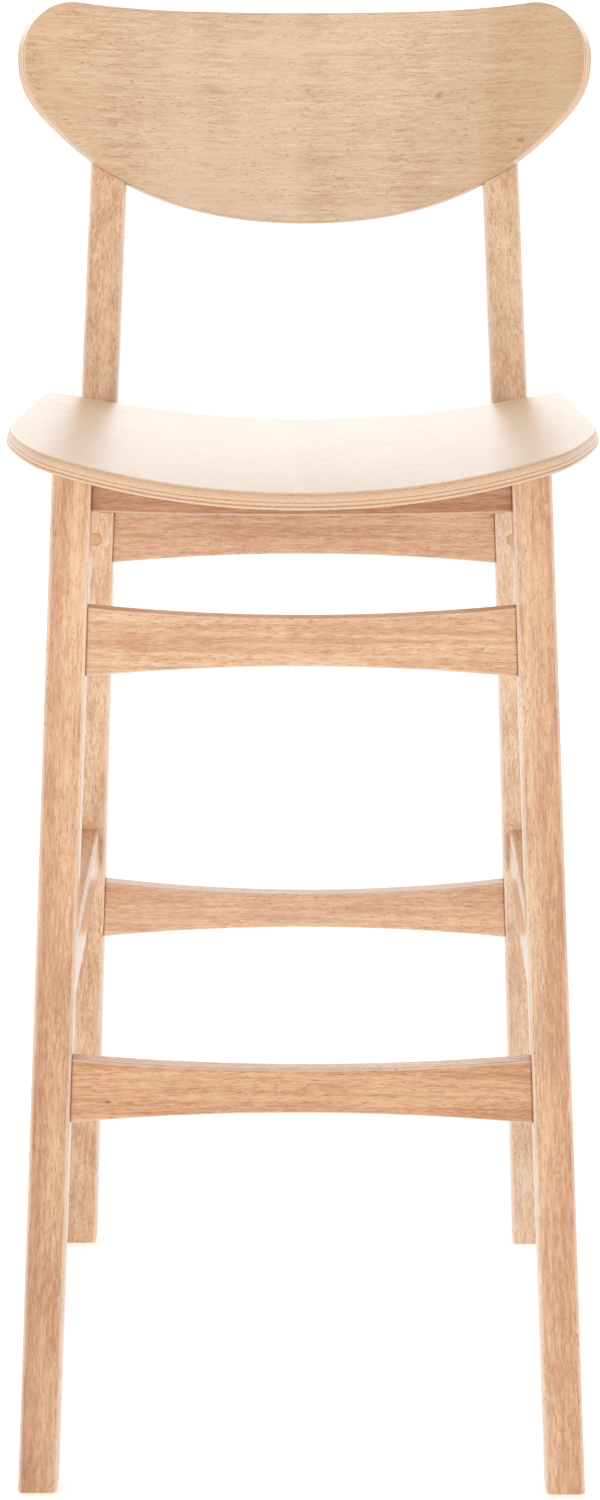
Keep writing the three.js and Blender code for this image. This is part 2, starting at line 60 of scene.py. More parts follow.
LEG_ARRIS = 2.6 * MM
RAIL_ARRIS = 1.7 * MM
STRETCHER_ARRIS = 3.0 * MM
FOOT_ROUNDING = 2.6 * MM
POST_TOP_ROUNDING = 3.0 * MM
SHOULDER_ROUNDING = 0.35 * MM  # at a rail's ends, where a fine dark joint shows
SHOULDER_GAP = 0.03 * MM
JOINT_WIDTH = 1.4 * MM  # how far the joint's shadow reaches along a rail
ARC_STEPS = 5
QUARTER = [math.radians(90 * k / ARC_STEPS) for k in range(ARC_STEPS + 1)]
SAME_POINT = 1e-7  # points nearer than this are one

LEG_STATIONS = 260  # heights at which a leg's faces are measured
LEG_END_MARGINS = (0.5 * MM, 0.05 * MM)  # left out at its foot and its top
WHOLE_FROM = 50 * MM  # height from which a leg's side faces are whole
STRAIGHT_RUN = 70 * MM  # of a face, fitted with a line that is carried on
CUT_MARGIN = 10 * MM  # below a panel, where a leg's faces are still whole
LEG_STEPS = 70
RAIL_STEPS = 56
CROSS_RAIL_SPAN, CROSS_RAIL_CUTS = 0.85, 9  # share measured, and in how many cuts
SIDE_RAIL_SPAN, SIDE_RAIL_CUTS = (0.2, 0.8), 5
SHOULDER_ROUNDS = 2  # of finding where a side rail meets a leg

SEAT_THICKNESS = 12.2 * MM
SEAT_FALL = 0.0576  # drop towards the rear for each unit of depth
SEAT_BEND_RADIUS = 857 * MM
SEAT_FRONT_RADIUS = 301 * MM
SEAT_FRONT_ARC = 35.6  # degrees on each side of the middle
SEAT_CORNER = {"pull": 0.4, "run": 40 * MM}  # curve from the front arc to the widest point
SEAT_WIDEST = 162 * MM  # behind the front edge
SEAT_HALF_WIDTH = 210.4 * MM
SEAT_REAR_HALF_WIDTH = 201 * MM
SEAT_REAR_CORNER = 36 * MM
SEAT_CLEARANCE = 0.3 * MM  # between the seat and what carries it

BACK_LEAN = math.radians(12)
BACK_THICKNESS = 12 * MM
BACK_BEND_RADIUS = 420 * MM
BACK_TOP = 68.2 * MM
BACK_BOTTOM = -95.5 * MM
BACK_SHOULDER = {"s": 182 * MM, "h": 27 * MM, "radius": 44.6 * MM}
BACK_LOWER_CURVE = [(104 * MM, BACK_BOTTOM), (158 * MM, -62 * MM), (200 * MM, -24 * MM)]
BACK_TIP_CURVE = {"start": (219 * MM, -7 * MM), "run": 22 * MM}
BACK_TOP_RUNS = (40 * MM, 90 * MM)  # inwards from the shoulder's middle
BACK_CLEARANCE = 0.15 * MM

PANEL_TOP_ARRIS = 1.8 * MM
PANEL_BACK_ARRIS = 1.4 * MM
OUTLINE_POINTS = 260
FACE_RINGS = 36
EDGE_STEPS = 8
HOUSING_REACH = 40 * MM  # how far before the backrest its posts are cleared
SETTLING_ROUNDS = 4  # of finding where a leg meets the seat

PEG_LENGTH_SPARE = 1 * MM  # left free at the bottom of a peg's bore
PLUG_DEPTH = 4 * MM
PLUG_BORE_SPARE = 1 * MM
BORE_START = -5 * MM  # before the face that is bored
RING_GAP = 0.16 * MM  # around a peg or plug
DOME_STEPS = 8
DOME_RISE = 0.45 * MM
DOME_ROUNDING = 0.5 * MM
HIDDEN_CHAMFER = 0.5 * MM

SCREW_HEAD = [  # (share of the head's radius, distance up)
    (0.5, 0), (0.8, 0.1 * MM), (0.95, 0.55 * MM), (1, 1.2 * MM), (1, 2.3 * MM), (0.97, 2.6 * MM),
]
SCREW_NECK = 2.7 * MM
SCREW_CORE = 0.36  # share of the head's radius
THREAD_START = 9 * MM
THREAD_PITCH = 1.8 * MM
THREAD_STEPS = (0.7 * MM, 1.0 * MM, 1.5 * MM)  # a thread's crest ends, its root starts and ends
THREAD_END = 5 * MM  # before the tip
SCREW_POINT = 4 * MM
TIP_RADIUS = 0.1 * MM
SCREW_SIDES = 32
RECESS_ARM = (0.5 * MM, 2.3 * MM)
RECESS_TAPER = [(1.15, -1 * MM), (0.55, 1.9 * MM)]  # (size, distance up)

GLIDE_DISH = [(0.3, 0.25 * MM), (0.6, 0.1 * MM)]  # (share of the radius, distance up)
GLIDE_ROUNDING = 1.2 * MM
GLIDE_FLANGE = 1.7 * MM
GLIDE_CHAMFER = 0.2 * MM
NAIL_RADIUS = 1.4 * MM
NAIL_POINT = 3 * MM

BLOCK_ARRIS = 0.8 * MM
HIDDEN_SCREW_ARRIS = 0.15 * MM
CAD_WELD = 0.01 * MM
SOFTENED_FROM = math.radians(40)  # edges at least as sharp as this are softened


def lerp(a, b, share):
    return a + (b - a) * share


# ---- Measuring the frame ----


@functools.cache
def edges_of(node):
    """The two ends of each edge of a CAD node."""
    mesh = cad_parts[node].data
    points = np.array([v.co for v in mesh.vertices])
    edges = np.array([e.vertices[:] for e in mesh.edges])
    return points[edges[:, 0]], points[edges[:, 1]]


def section(node, axis, at):
    """Lowest and highest corner of the cut through a CAD node by the plane axis = at."""
    a, b = edges_of(node)
    below, above = a[:, axis] - at, b[:, axis] - at
    crossing = (below * above <= 0) & (below != above)
    share = (below / np.where(crossing, below - above, 1))[crossing, None]
    cut = a[crossing] + share * (b[crossing] - a[crossing])
    return cut.min(0), cut.max(0)


class Leg:
    """Where a leg's four faces are at each height, as if nothing were cut from it."""

    def __init__(self, node, plain_to):
        """plain_to is the height up to which its faces are whole."""
        self.node = node
        self.low, self.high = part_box(node)
        foot, top = self.low.z + LEG_END_MARGINS[0], self.high.z - LEG_END_MARGINS[1]
        self.heights = np.linspace(foot, top, LEG_STATIONS)
        cuts = [section(node, 2, z) for z in self.heights]
        plain = (self.heights > WHOLE_FROM) & (self.heights < plain_to)
        self.x = []
        for end in (0, 1):
            faces = np.array([cut[end][0] for cut in cuts])
            self.x.append(np.polyfit(self.heights[plain], faces[plain], 1))
        self.front = self.carried_on([cut[0][1] for cut in cuts], plain_to)
        self.back = np.array([cut[1][1] for cut in cuts])

    def carried_on(self, faces, plain_to):
        """The faces with their straight run below plain_to carried on above it."""
        faces = np.array(faces)
        run = (self.heights > plain_to - STRAIGHT_RUN) & (self.heights < plain_to)
        line = np.polyfit(self.heights[run], faces[run], 1)
        above = self.heights >= plain_to
        faces[above] = np.polyval(line, self.heights[above])
        return faces

    def inner(self, z):
        """Distance of the inner face from the stool's middle plane."""
        return min(abs(np.polyval(line, z)) for line in self.x)

    def front_at(self, z):
        return float(np.interp(z, self.heights, self.front))

    def back_at(self, z):
        return float(np.interp(z, self.heights, self.back))

    def centre_x(self, z):
        return sum(np.polyval(line, z) for line in self.x) / 2

    def point(self, u, v, z):
        x = lerp(np.polyval(self.x[0], z), np.polyval(self.x[1], z), u)
        return Vector((x, lerp(self.front_at(z), self.back_at(z), v), z))


panel_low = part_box("backrest_panel")[0].z
seat_low, seat_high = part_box("seat_panel")
legs = {}
for side_name in SIDES:
    front = Leg(f"front_leg_{side_name}", seat_low.z - CUT_MARGIN)
    front.back = front.carried_on(front.back, seat_low.z - CUT_MARGIN)
    legs["front", side_name] = front
    legs["rear", side_name] = Leg(f"rear_leg_{side_name}", panel_low - CUT_MARGIN)


# ---- Surfaces of the two bent panels ----


def seat_height(x, y, depth):
    """Height of the surface that lies so deep below the seat's upper face."""
    rise = SEAT_BEND_RADIUS - math.sqrt((SEAT_BEND_RADIUS + depth) ** 2 - x * x)
    return seat_low.z + SEAT_THICKNESS + SEAT_FALL * (seat_high.y - y) + rise


def seat_place(x, y, depth):
    """The seat's edge is cut square to its bent face, so its underside is the wider one."""
    reach = x * (1 + depth / SEAT_BEND_RADIUS)
    return Vector((reach, y, seat_height(reach, y, depth)))


def underside(x, y):
    return seat_height(x, y, SEAT_THICKNESS) - SEAT_CLEARANCE


back_low, back_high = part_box("backrest_panel")
BACK_UP = Vector((0, math.sin(BACK_LEAN), math.cos(BACK_LEAN)))
BACK_THROUGH = Vector((0, math.cos(BACK_LEAN), -math.sin(BACK_LEAN)))
back_middle = Vector((
    0,
    back_high.y - BACK_THICKNESS * BACK_THROUGH.y - BACK_TOP * BACK_UP.y,
    back_low.z - BACK_THICKNESS * BACK_THROUGH.z - BACK_BOTTOM * BACK_UP.z,
))


def back_place(s, h, depth):
    """s runs along the inner face, h up the panel, and depth goes back through the plywood."""
    angle = s / BACK_BEND_RADIUS
    radius = BACK_BEND_RADIUS + depth
    through = radius * math.cos(angle) - BACK_BEND_RADIUS
    return back_middle + Vector((radius * math.sin(angle), 0, 0)) + through * BACK_THROUGH + h * BACK_UP


# ---- Outlines ----


def bezier(*controls, count=24):
    """Points on a Bezier curve of any degree, without its first one."""
    points = []
    for k in range(1, count + 1):
        line = [Vector(c) for c in controls]
        while len(line) > 1:
            line = [a.lerp(b, k / count) for a, b in zip(line, line[1:])]
        points.append(line[0])
    return points


def arc(centre, radius, start, end, count=30):
    """Points on an arc from start to end degrees."""
    angles = [math.radians(lerp(start, end, k / count)) for k in range(count + 1)]
    return [Vector(centre) + radius * Vector((math.cos(a), math.sin(a))) for a in angles]


def closed_outline(half):
    """A half outline from one end on the middle line to the other, mirrored and evenly spaced."""
    whole = half + [Vector((-p.x, p.y)) for p in reversed(half)]
    points = np.array([p[:] for p in whole])
    points = np.vstack([points, points[:1]])
    steps = np.linalg.norm(np.diff(points, axis=0), axis=1)
    along = np.concatenate([[0], np.cumsum(steps)])
    spots = np.linspace(0, along[-1], OUTLINE_POINTS, endpoint=False)
    return np.stack([np.interp(spots, along, points[:, k]) for k in (0, 1)], axis=1)


def seat_outline():
    arc_end = math.radians(SEAT_FRONT_ARC)
    front = arc((0, seat_low.y + SEAT_FRONT_RADIUS), SEAT_FRONT_RADIUS, -90, SEAT_FRONT_ARC - 90)
    corner = front[-1]
    pull = SEAT_CORNER["pull"] * (SEAT_HALF_WIDTH - corner.x)
    widest_y = seat_low.y + SEAT_WIDEST
    side = bezier(
        corner,
        (corner.x + pull, corner.y + pull * math.tan(arc_end)),
        (SEAT_HALF_WIDTH, widest_y - SEAT_CORNER["run"]),
        (SEAT_HALF_WIDTH, widest_y),
    )
    rear_x, rear_y = SEAT_REAR_HALF_WIDTH, seat_high.y
    rear_start = Vector((rear_x, rear_y - SEAT_REAR_CORNER))
    rear = bezier(rear_start, (rear_x, rear_y), (rear_x - SEAT_REAR_CORNER, rear_y))
    return closed_outline(front + side + [rear_start] + rear)


def back_outline():
    s, h, radius = (BACK_SHOULDER[key] for key in ("s", "h", "radius"))
    tip = s + radius
    bottom = [Vector((0, BACK_BOTTOM))]
    bottom += bezier(bottom[0], *BACK_LOWER_CURVE)
    bottom += bezier(bottom[-1], BACK_TIP_CURVE["start"], (tip, h - BACK_TIP_CURVE["run"]), (tip, h))
    shoulder = arc((s, h), radius, 0, 90)
    top = bezier(shoulder[-1], *((s - run, BACK_TOP) for run in BACK_TOP_RUNS))
    return closed_outline(bottom + shoulder[1:] + top)


# ---- Meshes ----


def loft(rings):
    """Vertices and faces of a closed body through rings of points."""
    count = len(rings[0])
    points = [p for ring in rings for p in ring]
    last = len(points) - count
    faces = [tuple(reversed(range(count)))]
    for low in range(0, last, count):
        for k in range(count):
            after = (k + 1) % count
            faces.append((low + k, low + after, low + count + after, low + count + k))
    faces.append(tuple(range(last, len(points))))
    return points, faces


def rounded_ring(width, height, radius):
    """Offsets from the middle, round a rectangle with rounded corners."""
    ring = []
    for turn, (sx, sy) in enumerate([(1, 1), (-1, 1), (-1, -1), (1, -1)]):
        for k in range(ARC_STEPS + 1):
            angle = math.radians(90 * (turn + k / ARC_STEPS))
            ring.append((
                sx * (width / 2 - radius) + radius * math.cos(angle),
                sy * (height / 2 - radius) + radius * math.sin(angle),
            ))
    return ring


def bar(corner, radius, steps, start_rounding, end_rounding):
    """A bar with rounded arrises, and how near each of its points is to the crest of an arris, which
    weights the painted highlight there.

    corner(t, u, v) gives the point of the sharp-cornered bar at those shares.
    """
    length = (corner(1, 0.5, 0.5) - corner(0, 0.5, 0.5)).length
    stations = [(k / steps, 0) for k in range(steps + 1)]
    rounded = []
    for end, rounding in ((0, start_rounding), (1, end_rounding)):
        for angle in QUARTER:
            offset = rounding * (1 - math.cos(angle)) / length
            rounded.append((abs(end - offset), rounding * (1 - math.sin(angle))))
    collars = [
        max(2 * start_rounding, JOINT_WIDTH) / length,
        1 - max(2 * end_rounding, JOINT_WIDTH) / length,
    ]
    stations = [s for s in stations if collars[0] < s[0] < collars[1]]
    stations += rounded + [(t, 0) for t in collars]
    rings = []
    arc_share = [math.sin(math.radians(180 * k / ARC_STEPS)) for k in range(ARC_STEPS + 1)]
    # Nearness to an arris's crest, for the painted highlight along the arrises.
    highlight_rims = 4 * arc_share * len(stations)
    for t, inset in sorted(stations):
        width = (corner(t, 1, 0.5) - corner(t, 0, 0.5)).length
        height = (corner(t, 0.5, 1) - corner(t, 0.5, 0)).length
        ring = rounded_ring(width - 2 * inset, height - 2 * inset, max(radius - inset, radius / 4))
        rings.append([corner(t, 0.5 + a / width, 0.5 + b / height) for a, b in ring])
    return *loft(rings), highlight_rims


def turned(profile, place, count=48):
    """A body turned from (radius, distance) pairs, with place(a, b, distance) giving each point."""
    rings = []
    for radius, distance in profile:
        angles = [2 * math.pi * k / count for k in range(count)]
        rings.append([place(radius * math.cos(a), radius * math.sin(a), distance) for a in angles])
    return loft(rings)


def inset_loop(outline, inset):
    """The outline moved inwards by inset, each point along its own normal."""
    ahead, behind = np.roll(outline, -1, axis=0), np.roll(outline, 1, axis=0)
    tangent = ahead - behind
    tangent /= np.linalg.norm(tangent, axis=1)[:, None]
    return outline + inset * np.stack([-tangent[:, 1], tangent[:, 0]], axis=1)


def plate_profile(thickness, front_arris, back_arris):
    """Rings from the middle of the front face to the back's: (share of the size, inset, depth)."""
    rings = [(k / FACE_RINGS, front_arris, 0) for k in range(1, FACE_RINGS + 1)]
    for a in QUARTER[1:]:
        rings.append((1, front_arris * (1 - math.sin(a)), front_arris * (1 - math.cos(a))))
    for k in range(1, EDGE_STEPS):
        rings.append((1, 0, lerp(front_arris, thickness - back_arris, k / EDGE_STEPS)))
    for a in QUARTER:
        rings.append((1, back_arris * (1 - math.cos(a)), thickness - back_arris * (1 - math.sin(a))))
    rings += [(k / FACE_RINGS, back_arris, thickness) for k in reversed(range(1, FACE_RINGS))]
    return rings


def plate(outline, profile, place):
    """Vertices, faces and flat (s, h, depth) coordinates of a bent plate."""
    middle = outline.mean(axis=0)
    flat = [(*middle.tolist(), profile[0][2])]
    for size, inset, depth in profile:
        loop = middle + size * (inset_loop(outline, inset) - middle)
        flat += [(s, h, depth) for s, h in loop.tolist()]
    flat.append((*middle.tolist(), profile[-1][2]))
    count = len(outline)
    last = len(flat) - 1
    faces = []
    for k in range(count):
        after = (k + 1) % count
        faces.append((0, 1 + after, 1 + k))
        for low in range(1, last - count, count):
            faces.append((low + k, low + after, low + count + after, low + count + k))
        faces.append((last, last - count + k, last - count + after))
    return [place(*p) for p in flat], faces, flat


def new_object(name, points, faces, highlight_rims=None):
    mesh = bpy.data.meshes.new(name)
    mesh.from_pydata([p[:] for p in points], [], faces)
    if highlight_rims:
        # the weights of the painted highlight along the arrises
        mesh.attributes.new("rim", "FLOAT", "POINT").data.foreach_set("value", highlight_rims)
    shape = bmesh.new()
    shape.from_mesh(mesh)
    bmesh.ops.remove_doubles(shape, verts=shape.verts, dist=SAME_POINT)
    bmesh.ops.recalc_face_normals(shape, faces=shape.faces)
    shape.to_mesh(mesh)
    shape.free()
    made = bpy.data.objects.new(name, mesh)
    add_to_scene(made)
    return made


def carve(piece, cutters):
    """Cuts the cutters from the piece for good, and removes them."""
    for cutter in cutters:
        cut = piece.modifiers.new("cut", "BOOLEAN")
        cut.operation = "DIFFERENCE"
        cut.solver = "EXACT"
        cut.object = cutter
    graph = bpy.context.evaluated_depsgraph_get()
    piece.data = bpy.data.meshes.new_from_object(piece.evaluated_get(graph))
    piece.modifiers.clear()
    for cutter in cutters:
        bpy.data.objects.remove(cutter)


def give_grain(piece, places):
    """Stores for each vertex where it lies in its board: across, through and along the grain."""
    attribute = piece.data.attributes.new("grain", "FLOAT_VECTOR", "POINT")
    attribute.data.foreach_set("vector", np.array(places, np.float32).ravel())


def give_grain_by(piece, grain):
    give_grain(piece, [grain(v.co) for v in piece.data.vertices])


def finish_piece(piece, node, material, sharp_angle=38):
    """Smooth shading with crisp cuts, the material, and the CAD node that the piece stands for."""
    mesh = piece.data
    mesh.materials.clear()
    mesh.materials.append(material)
    mesh.shade_smooth()
    mesh.set_sharp_from_angle(angle=math.radians(sharp_angle))
    weighted = piece.modifiers.new("even_shading", "WEIGHTED_NORMAL")
    weighted.keep_sharp = True
    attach(piece, "root")
    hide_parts(node)


# ---- Materials ----


class Surface:
    """A material with a Principled shader, and short ways to build its node tree."""

    def __init__(self, name, **shader_values):
        self.material = bpy.data.materials.new(name)
        self.material.use_nodes = True
        self.tree = self.material.node_tree
        self.shader = self.tree.nodes["Principled BSDF"]
        for label, value in shader_values.items():
            self.shader.inputs[label.replace("_", " ")].default_value = value

    def feed(self, socket, value):
        if isinstance(value, bpy.types.NodeSocket):
            self.tree.links.new(value, socket)
        else:
            socket.default_value = value

    def add(self, kind, inputs, **settings):
        node = self.tree.nodes.new(kind)
        for key, value in settings.items():
            setattr(node, key, value)
        for key, value in inputs.items():
            self.feed(node.inputs[key], value)
        return node

    def maths(self, operation, a, b=0.0):
        return self.add("ShaderNodeMath", {0: a, 1: b}, operation=operation).outputs[0]

    def times(self, a, b):
        return self.maths("MULTIPLY", a, b)

    def plus(self, a, b):
        return self.maths("ADD", a, b)

    def less(self, a, b):
        return self.maths("SUBTRACT", a, b)

    def swing(self, noise, reach):
        """A noise turned into a swing about zero."""
        return self.times(self.less(noise, 0.5), reach)

    def stored(self, name, output="Fac"):
        """What a mesh attribute stores at each point."""
        return self.add("ShaderNodeAttribute", {}, attribute_name=name).outputs[output]

    def node_place(self):
        return self.add("ShaderNodeTexCoord", {}).outputs["Object"]

    def parts(self, vector):
        return self.add("ShaderNodeSeparateXYZ", {0: vector}).outputs

    def paint(self, colour, roughness):
        self.feed(self.shader.inputs["Base Color"], colour)
        self.feed(self.shader.inputs["Roughness"], roughness)

    def stretched(self, vector, scales):
        node = self.add("ShaderNodeVectorMath", {0: vector, 1: scales}, operation="MULTIPLY")
        return node.outputs[0]

    def moved(self, vector, by):
        return self.add("ShaderNodeVectorMath", {0: vector, 1: by}, operation="ADD").outputs[0]

    def noise(self, vector, scales, detail=2.0, roughness=0.5):
        """Noise with so many features to a metre along each axis."""
        inputs = {"Vector": self.stretched(vector, scales), "Scale": 1.0}
        inputs |= {"Detail": detail, "Roughness": roughness}
        return self.add("ShaderNodeTexNoise", inputs).outputs["Fac"]

    def span(self, value, low, high, to_low=0.0, to_high=1.0):
        """The value's range from low to high, turned smoothly into to_low to to_high."""
        inputs = {"Value": value, "From Min": low, "From Max": high, "To Min": to_low, "To Max": to_high}
        return self.add("ShaderNodeMapRange", inputs, interpolation_type="SMOOTHSTEP").outputs["Result"]

    def mix(self, share, a, b, blend="MIX"):
        node = self.add("ShaderNodeMix", {0: share, 6: a, 7: b}, data_type="RGBA", blend_type=blend)
        return node.outputs[2]

    def dashes(self, vector, cell, size):
        """Short dark pores: 1 inside a pore.

        cell is the spacing across and along the grain, and size a share of it.
        """
        scales = (1 / cell[0], 1 / cell[0], 1 / cell[1])
        inputs = {"Vector": self.stretched(vector, scales), "Scale": 1.0, "Randomness": 1.0}
        distance = self.add("ShaderNodeTexVoronoi", inputs, feature="F1").outputs["Distance"]
        return self.span(distance, size * PORE_CORE, size, 1.0, 0.0)

    def bump(self, height, strength, distance):
        inputs = {"Height": height, "Strength": strength, "Distance": distance}
        self.feed(self.shader.inputs["Normal"], self.add("ShaderNodeBump", inputs).outputs["Normal"])


def srgb(red, green, blue):
    """A linear colour from its 0 to 255 display values."""
    linear = [((c / 255 + 0.055) / 1.055) ** 2.4 for c in (red, green, blue)]
    return (*linear, 1.0)


ACROSS, THROUGH, ALONG = 0, 1, 2  # a board's directions, in this order in every "grain" attribute

LACQUER = {"Specular_IOR_Level": 0.5, "Coat_Weight": 0.45, "Coat_Roughness": 0.16, "Coat_IOR": 1.5}
SEAT_COAT = {"Coat_Weight": 1.0, "Coat_Roughness": 0.44}
LACQUER_ROUGHNESS = (0.3, 0.38)
PORE_ROUGHNESS = 0.15
GRAIN_BUMP = {"strength": 0.35, "distance": 0.06 * MM}
FIBRE_HEIGHT = 0.35  # of a pore's depth

# Noises in wood, as features to a metre across, through and along the grain.
WANDER = (9, 9, 1.6)
BANDS = (70, 70, 2.5)
PATCHES = (30, 30, 12)
STREAKS = (360, 360, 16)
FIBRES = (820, 820, 95)
PORE_PATCHES = (120, 120, 14)
SWAY = (6, 6, 3.2)
KNOT_EDGE = (260, 260, 120)
HIGHLIGHT_BANDS = (3, 3, 17)
PLY_WAVES = (30, 30, 30)
END_GRAIN = (420, 2600, 420)
# Between which values of a noise a look changes.
ALL_NOISE, MOST_NOISE, MIDDLE_NOISE = (0.2, 0.8), (0.3, 0.7), (0.35, 0.65)

BOARD_STEP = (0.37, 0.21, 1.31)  # metres from one seed's board to the next
RING_SPACING = 7.5 * MM
RING_WANDER = 30 * MM
FIGURE_WEIGHTS = {"rings": 0.14, "bands": 0.9, "patches": 0.55, "streaks": 0.9, "fibres": 1.55}
FIGURE_SPAN = (-0.5, 0.65)  # sums that give the lightest and darkest tone
LONG_PORES = {"cell": (1.5 * MM, 9 * MM), "size": 0.24}
SHORT_PORES = {"cell": (0.95 * MM, 4.5 * MM), "size": 0.27}
LONG_PORE_SHARE, SHORT_PORE_SHARE = 0.85, 0.6
PATCHINESS = (0.35, 0.6, 0.25, 1.0)  # noise from and to, and the pores it leaves
PORE_CORE = 0.55  # share of a pore's size that is fully dark
PORE = srgb(150, 98, 62)
ARRIS_HIGHLIGHT = srgb(246, 230, 212)  # painted highlight along the arrises, where their rounding catches the light
ARRIS_HIGHLIGHT_SHARE = 0.5
# the dark joint line, with painted shade: the leg's shadow on a rail's end
JOINT_AND_SHADOW_TINT = (0.45, 0.36, 0.3, 1)
SHADE_SWING = {ACROSS: 16 * MM, ALONG: 100 * MM}  # how far a shade's border strays
KNOT_DRAWN_OUT = 0.6  # share of a knot's length along the grain that counts
RAGGEDNESS = (0.6, 1.4)  # shares by which a knot's edge strays
KNOT_CORE = 0.2  # share of a knot's reach that is fully dark

VENEER_FIGURE = {"pith": (50 * MM, 160 * MM), "slope": 0.02, "bands_share": 0.45}
# share of the painted highlight bands, which stand in for reflections on the veneer
VENEER_HIGHLIGHT = 0.6
PLY_WAVER = 0.5 * MM
END_GRAIN_SHARE = 0.7
EDGE_FADE = (0.25 * MM, 0.7 * MM)  # depths where a face turns into the edge

BLOCK_FIGURE = {"pith": (30 * MM, 20 * MM), "slope": 0.03}
BLOCK_LIGHT, BLOCK_DARK = srgb(222, 180, 138), srgb(190, 142, 100)
BLOCK_PORES = 0.5
BARE_SPECULAR = 0.4

STEEL_BLOOMS, STEEL_SCRATCHES = (900, 900, 900), (4000, 4000, 500)
STEEL_LIGHT, STEEL_DARK = srgb(196, 198, 200), srgb(168, 170, 172)
STEEL_ROUGHNESS = (0.22, 0.4)
STEEL_BUMP = {"strength": 0.2, "distance": 0.02 * MM}
NYLON_MOTTLE, NYLON_SCUFFS = (600, 600, 600), (300, 2500, 2500)
NYLON_LIGHT, NYLON_DARK = srgb(226, 221, 208), srgb(206, 199, 184)
NYLON_ROUGHNESS = (0.42, 0.65)
NYLON_BUMP = {"strength": 0.25, "distance": 0.03 * MM}


def wood_figure(wood, place, seed, light, dark, pith, slope, bands_share=1.0):
    """Colour of a board before its pores: growth rings, soft bands and fine fibres along the grain.

    pith is how far across and behind the board's middle its tree's core lay, and slope its drift.
    """
    board = wood.moved(place, tuple(seed * step for step in BOARD_STEP))
    wander = wood.noise(board, WANDER, detail=1.0)
    parts = wood.parts(place)
    drift = wood.maths("MULTIPLY_ADD", parts[ALONG], slope)
    drift.node.inputs[2].default_value = pith[0]
    across = wood.plus(parts[ACROSS], drift)
    across = wood.plus(across, wood.times(wander, RING_WANDER))
    depth = wood.plus(parts[THROUGH], pith[1])
    squares = wood.maths("POWER", across, 2.0), wood.maths("POWER", depth, 2.0)
    distance = wood.maths("SQRT", wood.plus(*squares))
    rings = wood.maths("SINE", wood.times(distance, 2 * math.pi / RING_SPACING))
    rings = wood.span(rings, -1.0, 1.0)
    fibres = wood.noise(board, FIBRES, detail=2.0, roughness=0.6)
    noises = {
        "bands": wood.noise(board, BANDS, detail=2.0),
        "patches": wood.noise(board, PATCHES, detail=3.0),
        "streaks": wood.noise(board, STREAKS, detail=2.0),
        "fibres": fibres,
    }
    weights = {**FIGURE_WEIGHTS, "bands": FIGURE_WEIGHTS["bands"] * bands_share}
    tone = wood.times(rings, FIGURE_WEIGHTS["rings"] * bands_share)
    for name, noise in noises.items():
        tone = wood.plus(tone, wood.swing(noise, weights[name]))
    tone = wood.span(tone, *FIGURE_SPAN)
    return wood.mix(tone, light, dark), fibres, board


def add_pores(wood, colour, board, fibres, pore_colour, strength):
    """Draws the pores into the colour, and gives the shader its colour, roughness and bump."""
    patchy = wood.span(wood.noise(board, PORE_PATCHES, detail=1.0), *PATCHINESS)
    long_pores = wood.times(wood.dashes(board, **LONG_PORES), LONG_PORE_SHARE)
    short_pores = wood.times(wood.dashes(board, **SHORT_PORES), SHORT_PORE_SHARE)
    pores = wood.maths("MAXIMUM", long_pores, short_pores)
    pores = wood.times(pores, patchy)
    colour = wood.mix(wood.times(pores, strength), colour, pore_colour)
    rough = wood.span(fibres, *ALL_NOISE, *LACQUER_ROUGHNESS)
    rough = wood.plus(rough, wood.times(pores, PORE_ROUGHNESS))
    wood.paint(colour, rough)
    height = wood.less(wood.times(fibres, FIBRE_HEIGHT), pores)
    wood.bump(height, **GRAIN_BUMP)


def tone_and_shade(wood, place, board, colour, tones_and_shades):
    """Darkens stretches of a board: painted shade, and darker tones of the wood itself.

    Each stretch is (direction, start, end, tint), and has its full tint from its end onwards.
    """
    parts = wood.parts(place)
    sway = wood.noise(board, SWAY, detail=2.0)
    for direction, start, end, tint in tones_and_shades:
        at = wood.plus(parts[direction], wood.swing(sway, SHADE_SWING[direction]))
        colour = wood.mix(wood.span(at, start, end), colour, (*tint, 1), "MULTIPLY")
    return colour


def add_knots(wood, place, board, colour, knots):
    """Small knots, each as (across, along, reach, tint), drawn out along the grain."""
    ragged = wood.span(wood.noise(board, KNOT_EDGE, detail=3.0), *ALL_NOISE, *RAGGEDNESS)
    for across, along, reach, tint in knots:
        offset = wood.stretched(wood.moved(place, (-across, 0, -along)), (1, 0, KNOT_DRAWN_OUT))
        distance = wood.add("ShaderNodeVectorMath", {0: offset}, operation="LENGTH").outputs["Value"]
        distance = wood.times(distance, ragged)
        inside = wood.span(distance, KNOT_CORE * reach, reach, 1.0, 0.0)
        colour = wood.mix(inside, colour, (*tint, 1), "MULTIPLY")
    return colour


def timber(name, seed, light, dark, pith=(0.02, 0.03), slope=0.01, pores=0.85, tones_and_shades=(), knots=()):
    """Lacquered solid wood, with a dark joint line and the leg's painted shadow where a shoulder meets a
    leg, and a painted highlight along its arrises.
    """
    wood = Surface(name, **LACQUER)
    place = wood.stored("grain", "Vector")
    colour, fibres, board = wood_figure(wood, place, seed, light, dark, pith, slope)
    colour = tone_and_shade(wood, place, board, colour, tones_and_shades)
    colour = add_knots(wood, place, board, colour, knots)
    # A dark joint line and painted shade where a rail's shoulder meets a leg.
    joint_and_shadow = wood.stored("joint_and_shadow")
    colour = wood.mix(joint_and_shadow, colour, JOINT_AND_SHADOW_TINT, "MULTIPLY")
    # Painted highlight: a pale colour along the arrises, where their rounding catches the light.
    rim = wood.stored("rim")
    colour = wood.mix(wood.times(rim, ARRIS_HIGHLIGHT_SHARE), colour, ARRIS_HIGHLIGHT)
    add_pores(wood, colour, board, fibres, PORE, pores)
    return wood.material


